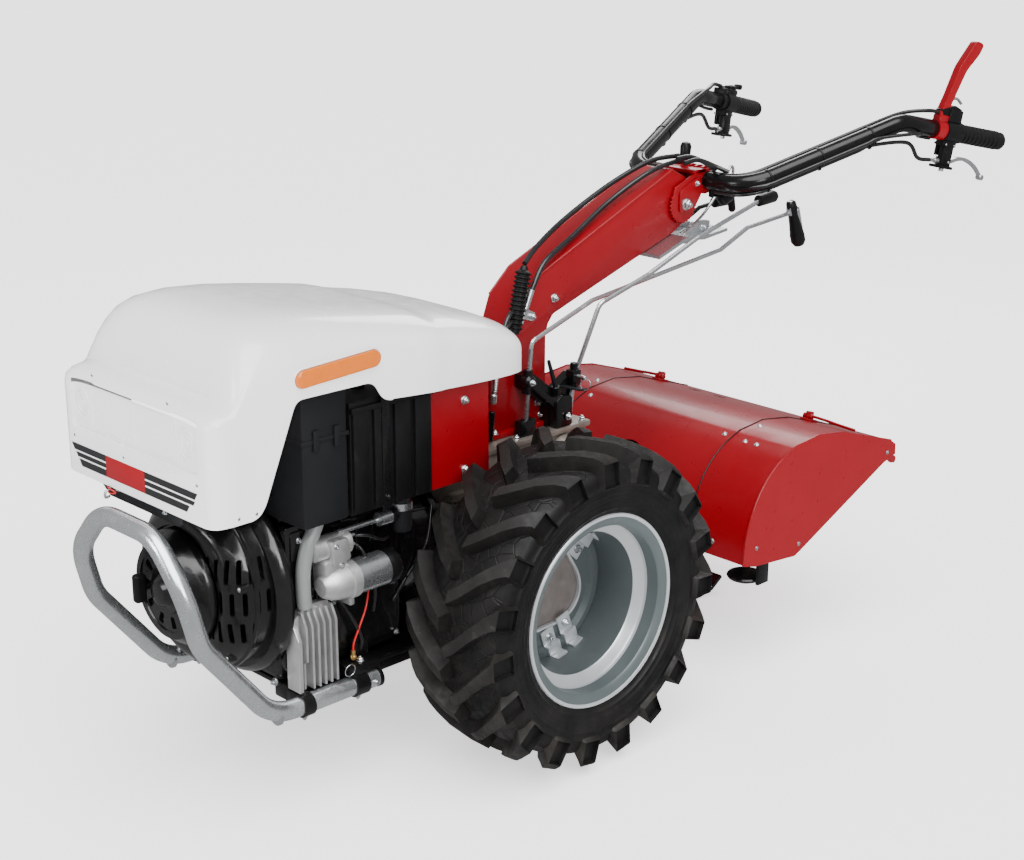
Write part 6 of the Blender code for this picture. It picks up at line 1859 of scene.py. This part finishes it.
def build_clamp():
    """The toothed cheeks that hold the bars on the column."""
    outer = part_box("handlebar_clamp")[1].x
    pivot = BAR_PIVOT
    cross = BAR_CROSS
    clamp = Shape()
    teeth = []
    for k in range(40):
        angle = math.radians(150 + k * 6)
        radius = 0.0392 if k % 2 else 0.0345
        teeth.append((pivot[0] + radius * math.cos(angle), pivot[1] + radius * math.sin(angle)))
    cheek = teeth + [(cross[0] + 0.024, cross[1] - 0.022), (cross[0] + 0.024, cross[1] + 0.014),
                     (cross[0] + 0.010, cross[1] + 0.024),
                     (cross[0] - 0.024, cross[1] + 0.022), (pivot[0] - 0.026, pivot[1] + 0.034)]
    for side in (1, -1):
        low_x, high_x = sorted((side * (outer - 0.006), side * outer))
        clamp.prism(side_view(cheek), "X", low_x, high_x, 0.0010)
        low_x, high_x = sorted((side * outer, side * (outer + 0.004)))
        clamp.prism(side_view(rounded_outline([(0.556, 0.846), (0.556, 0.888), (0.612, 0.912), (0.622, 0.880),
                                               (0.596, 0.846)],
                                              0.010)), "X", low_x, high_x, 0.0010)
    for k in range(6):
        x = -outer + 0.004 + k * (2 * outer - 0.014) / 5
        clamp.turned([(0, BAR_TUBE), (0.0005, 0.0275), (0.0055, 0.0275), (0.0060, BAR_TUBE)],
                     (x, cross[0] + AXLE_Y, cross[1]), (1, 0, 0), 48)
    clamp.turned([(0, BAR_TUBE), (0.0005, 0.0228), (2 * outer - 0.0005, 0.0228), (2 * outer, BAR_TUBE)],
                 (-outer, cross[0] + AXLE_Y, cross[1]), (1, 0, 0), 48)
    clamp.box(at(-outer, 0.600, 0.9150), at(outer, 0.636, 0.9235), 0.002)
    saddle = clamp.piece("clamp_saddle", RED, "bar", 40)
    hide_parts("handlebar_clamp")
    bolts = Shape()
    for side in (1, -1):
        bolts.bolt(at(side * (outer + 0.004), pivot[0], pivot[1]), (side, 0, 0), 0.0092)
        bolts.bolt(at(side * outer, 0.648, 0.8860), (side, 0, 0), 0.0048)
        bolts.bolt(at(side * (outer + 0.004), 0.604, 0.898), (side, 0, 0), 0.0045)
    bolts.piece("clamp_bolts", ZINC, "bar")
    knobs = Shape()
    knobs.turned([(0, 0.006), (0.004, 0.0085), (0.012, 0.0100), (0.036, 0.0112), (0.043, 0.0085),
                  (0.045, 0.0040)],
                 at(-0.012, 0.640, 0.922), (0, 0.10, 1), 28)
    knobs.box(at(outer + 0.002, 0.640, 0.866), at(outer + 0.012, 0.662, 0.914), 0.003)
    knobs.turned([(0, 0.006), (0.003, 0.0120), (0.022, 0.0140), (0.034, 0.0110), (0.037, 0.0050)],
                 at(outer + 0.020, 0.655, 0.858), (0.1, 0.55, 0.3), 28)
    knobs.piece("clamp_knobs", BLACK_PLASTIC, "bar", 40)


def build_handlebar():
    """The whole handlebar."""
    build_bars()
    build_clamp()


# ---------------------------------------------------------------- tiller
COVER_SHEET = 0.003
ROTOR_Y, ROTOR_Z = 0.572, 0.300   # the rotor shaft, from the axle
FLAP_Y, FLAP_Z = 0.900, 0.356     # the rear flap's hinge line, from the axle


def cover_line():
    """The cover's side view from its lower front edge over the fold to its rear edge."""
    front = curve_through([(y, z, 0) for y, z in ((0.434, 0.236), (0.440, 0.290), (0.456, 0.336),
                                                  (0.486, 0.382), (0.528, 0.416), (0.580, 0.4375))], 6)
    line = [(point.x, point.y) for point in front]
    return line + [(0.650, 0.4440), (0.730, 0.4310), (0.892, 0.3785)]


def moved_line(line, inset):
    """The same line moved towards the inside."""
    result = []
    for k, here in enumerate(line):
        before, after = Vector(line[max(k - 1, 0)]), Vector(line[min(k + 1, len(line) - 1)])
        along = (after - before).normalized()
        result.append((here[0] + along.y * inset, here[1] - along.x * inset))
    return result


def strip(shape, low_x, high_x):
    """Add a closed strip of the cover's sheet between two planes."""
    line = cover_line()
    shape.prism(side_view(line + list(reversed(moved_line(line, COVER_SHEET)))), "X", low_x, high_x, 0.0)


def top_of_cover(y):
    """Height of the cover's outer face at a distance behind the axle."""
    line = cover_line()
    for (y0, z0), (y1, z1) in zip(line, line[1:]):
        if y0 <= y <= y1:
            return z0 + (z1 - z0) * (y - y0) / (y1 - y0)
    return line[-1][1]


def build_cover():
    """The tiller's sheet cover: middle, shoulders, seams, feet and rear lip."""
    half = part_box("tiller_cover")[1].x
    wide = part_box("left_tiller_end")[1].x
    middle_part = Shape()
    strip(middle_part, -half + 0.0006, half - 0.0006)
    body = middle_part.piece("cover_middle", RED, "frame", 22)
    hole = Shape()
    hole.rod(at(0, 0.30, 0.330), at(0, 0.50, 0.330), 0.0603, 48)
    cut(body, hole.piece("neck_cut", RED, "frame"))
    body.data.set_sharp_from_angle(angle=math.radians(22))
    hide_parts("tiller_cover")

    line = cover_line()
    plate_line = line + [(0.908, 0.368), (0.909, 0.348), (0.870, 0.338), (0.606, 0.221), (0.590, 0.2145),
                         (0.470, 0.2265)]
    for side, label in SIDES:
        end = Shape()
        low_x, high_x = sorted((side * (half + 0.0012), side * (wide - 0.0020)))
        strip(end, low_x, high_x)
        low_x, high_x = sorted((side * (wide - 0.0040), side * wide))
        end.prism(side_view(plate_line), "X", low_x, high_x, 0.0008)
        edge = [at(side * (wide - 0.0018), y, z) for y, z in line]
        end.sweep(edge, 0.0024, 10)
        lower = [at(side * (wide - 0.0020), y, z) for y, z in plate_line[len(line) + 1:]]
        end.sweep(lower + [at(side * (wide - 0.0020), *line[0])], 0.0022, 8)
        whole = end.piece(label + "_end_cover", RED, "frame", 22)
        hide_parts(label + "_tiller_end")

        seam = Shape()
        seam.sweep([at(side * (half + 0.0002), y, z) for y, z in moved_line(line, -0.0004)], 0.0014, 8)
        seam.piece(label + "_cover_seam", BLACK, "frame", 60)

        latch = Shape()
        y = 0.800
        z = top_of_cover(y)
        tilt = about(at(side * half, y, z), "X", -18)
        latch.box(at(side * half - 0.012, y - 0.015, z - 0.001),
                  at(side * half + 0.012, y + 0.015, z + 0.005), 0.0015, tilt)
        latch.box(at(side * half - 0.004, y - 0.010, z + 0.004),
                  at(side * half + 0.004, y + 0.010, z + 0.020), 0.002, tilt)
        latch.rod(at(side * half - 0.011, y, z + 0.010), at(side * half + 0.011, y, z + 0.010), 0.0060)
        far = side * (half + 0.110)
        latch.sweep(curve_through([at(side * (half + 0.005), y, z + 0.012),
                                   at(side * (half + 0.040), y + 0.004, z + 0.009),
                                   at(side * (half + 0.070), y + 0.006, z + 0.006),
                                   at(far, y + 0.006, z + 0.004)], 5), 0.0032, 10)
        tab = rounded_outline([(0.900, 0.362), (0.930, 0.336), (0.946, 0.326), (0.942, 0.314), (0.924, 0.318),
                               (0.896, 0.350)], 0.006)
        low_x, high_x = sorted((side * (wide - 0.026), side * (wide - 0.022)))
        latch.prism(side_view(tab), "X", low_x, high_x, 0.0010)
        latch.piece(label + "_cover_latch", RED, "frame")

        bolts = Shape()
        for x, y in ((half + 0.034, 0.556), (half + 0.062, 0.556), (half - 0.020, 0.560),
                     (half + 0.018, 0.620)):
            bolts.bolt(at(side * x, y, top_of_cover(y)), (0, -0.35, 1), 0.0042, "round")
        for x, place in ((half + 0.060, 3), (half - 0.050, 3), (half - 0.140, 4)):
            spot = line[place]
            bolts.bolt(at(side * x, *spot), (0, -1, 0.14), 0.0042, "round")
        for y, z in ((0.470, 0.262), (0.880, 0.356), (0.600, 0.236)):
            bolts.bolt(at(side * wide, y, z), (side, 0, 0), 0.0036, "round")
        bolts.piece(label + "_cover_bolts", ZINC, "frame")

        foot = Shape()
        foot.turned([(0, 0.034), (0.003, 0.036), (0.008, 0.033), (0.013, 0.022), (0.015, 0.008)],
                    at(side * 0.292, 0.500, 0.189), (0, 0, -1), 40)
        low_x, high_x = sorted((side * 0.3285, side * 0.3360))
        foot.box(at(low_x, 0.484, 0.180), at(high_x, 0.516, 0.240), 0.002)
        foot.piece(label + "_cover_foot", BLACK, "frame")

    lip = Shape()
    for low_x, high_x in ((-wide + 0.005, -half - 0.0012), (-half + 0.0006, half - 0.0006),
                          (half + 0.0012, wide - 0.005)):
        lip.prism(side_view([(0.8890, 0.3770), (0.8920, 0.3780), (0.8935, 0.3670), (0.8905, 0.3665)]), "X",
                  low_x, high_x, 0.0004)
    lip.piece("cover_rear_lip", RED, "frame")

    # The cover is not cut here: black prisms flush with it are painted shade where the slots' openings would
    # be.
    slot_shades = Shape()
    surface_z = top_of_cover(0.797)
    for x in (-0.100, -0.030):
        for k in range(2):
            left = x - 0.009 + 0.0140 * k
            slot = [(left, 0.787 + AXLE_Y), (left + 0.005, 0.787 + AXLE_Y), (left + 0.005, 0.807 + AXLE_Y),
                    (left, 0.807 + AXLE_Y)]
            slot_shades.prism(rounded_outline(slot, 0.002), "Z", surface_z - 0.003, surface_z + 0.0006, 0.0,
                        about(at(x, 0.797, surface_z), "X", -18))
    slot_shades.piece("cover_slots", SLOT_SHADE, "frame")


def build_tiller_drive():
    """Bolts of the tiller's gear case, rotor and skid, and the flap's knuckles."""
    bolts = Shape()
    for k in range(8):
        angle = math.radians(k * 45 + 22)
        bolts.bolt(at(0.069 * math.cos(angle), 0.3013, 0.330 + 0.069 * math.sin(angle)), (0, 1, 0), 0.0052)
    for side in (1, -1):
        for y, z in ((0.470, 0.330), (0.540, 0.362), (0.620, 0.355), (0.648, 0.300), (0.630, 0.236),
                     (0.560, 0.226), (0.490, 0.280)):
            bolts.bolt(at(side * 0.045, y, z), (side, 0, 0), 0.0042)
    bolts.piece("gear_case_bolts", ZINC, "frame")
    spin = Shape()
    for side in (1, -1):
        for flange in (0.095, 0.190, 0.285):
            for k in range(8):
                angle = math.radians(45 * k + 22)
                spot = at(side * (flange + 0.004), ROTOR_Y + 0.046 * math.cos(angle),
                          ROTOR_Z + 0.046 * math.sin(angle))
                spin.bolt(spot, (side, 0, 0), 0.0045)
    spin.piece("hoe_bolts", ZINC, "tiller_rotor")
    skid = Shape()
    for side in (1, -1):
        skid.bolt(at(side * 0.012, 0.602, 0.009), (0, 0, 1), 0.0050)
    skid.piece("skid_bolts", ZINC, "frame")
    flap = Shape()
    for k in range(5):
        x = -0.28 + 0.14 * k
        flap.turned([(0, 0.0062), (0.0006, 0.0074), (0.0494, 0.0074), (0.050, 0.0062)],
                    at(x - 0.025, FLAP_Y, FLAP_Z), (1, 0, 0), 24)
    for x in (-0.200, 0.200):
        flap.prism(side_view([(0.880, 0.3490), (0.890, 0.3440), (0.690, 0.2480), (0.684, 0.2530)]), "X",
                   x - 0.010, x + 0.010, 0.001)
    flap.piece("flap_knuckles", RED, "flap")


def build_tiller():
    """The whole tiller."""
    build_cover()
    build_tiller_drive()


FINISHES = {
    "painted_red": (RED, ("rear_panel", "column", "handlebar_clamp", "dead_man_lever", "tiller_cover",
                          "left_tiller_end", "right_tiller_end", "rear_flap", "tiller_gear_case")),
    "painted_black": (BLACK, ("hood_latch_bracket", "hood_hinge_bracket", "selector_bracket", "handlebar",
                              "depth_skid", "left_rotor", "right_rotor", "engine_base")),
    "black_castings": (BLACK_CAST, ("clutch_housing", "engine_block", "fan_housing", "recoil_cover")),
    "plastics": (BLACK_PLASTIC, ("battery", "fuel_tank", "throttle_lever", "pto_lever", "left_lever_block",
                                 "right_lever_block")),
    "panels": (DARK_PLASTIC, ("air_filter_box",)),
    "cables": (CABLE, ("column_cable", "cable_sleeve", "left_bar_cable", "right_bar_cable")),
    "castings": (CASTING, ("transmission_case",)),
    "aluminium": (ALUMINIUM, ("starter_solenoid", "intake_pipe", "regulator")),
    "tubes": (ZINC_TUBE, ("bumper",)),
    "zincs": (ZINC, ("rod_guide", "gear_rod", "range_rod", "dipstick", "fuel_filter", "starter_motor",
                     "muffler", "left_brake_lever", "right_brake_lever")),
    "grips": (RUBBER, ("left_grip", "right_grip")),
    "hood": (HOOD_WHITE, ("hood",)),
    "lenses": (AMBER, ("left_side_marker", "right_side_marker")),
}


def dress_frame():
    """Give the CAD solids that stay visible their materials."""
    for material, names in FINISHES.values():
        for name in names:
            dress(name, material)


dress_frame()
build_stage()
build_wheels()
build_engine()
build_hood()
build_markers()
build_latch()
build_column()
build_selector()
build_handlebar()
build_tiller()
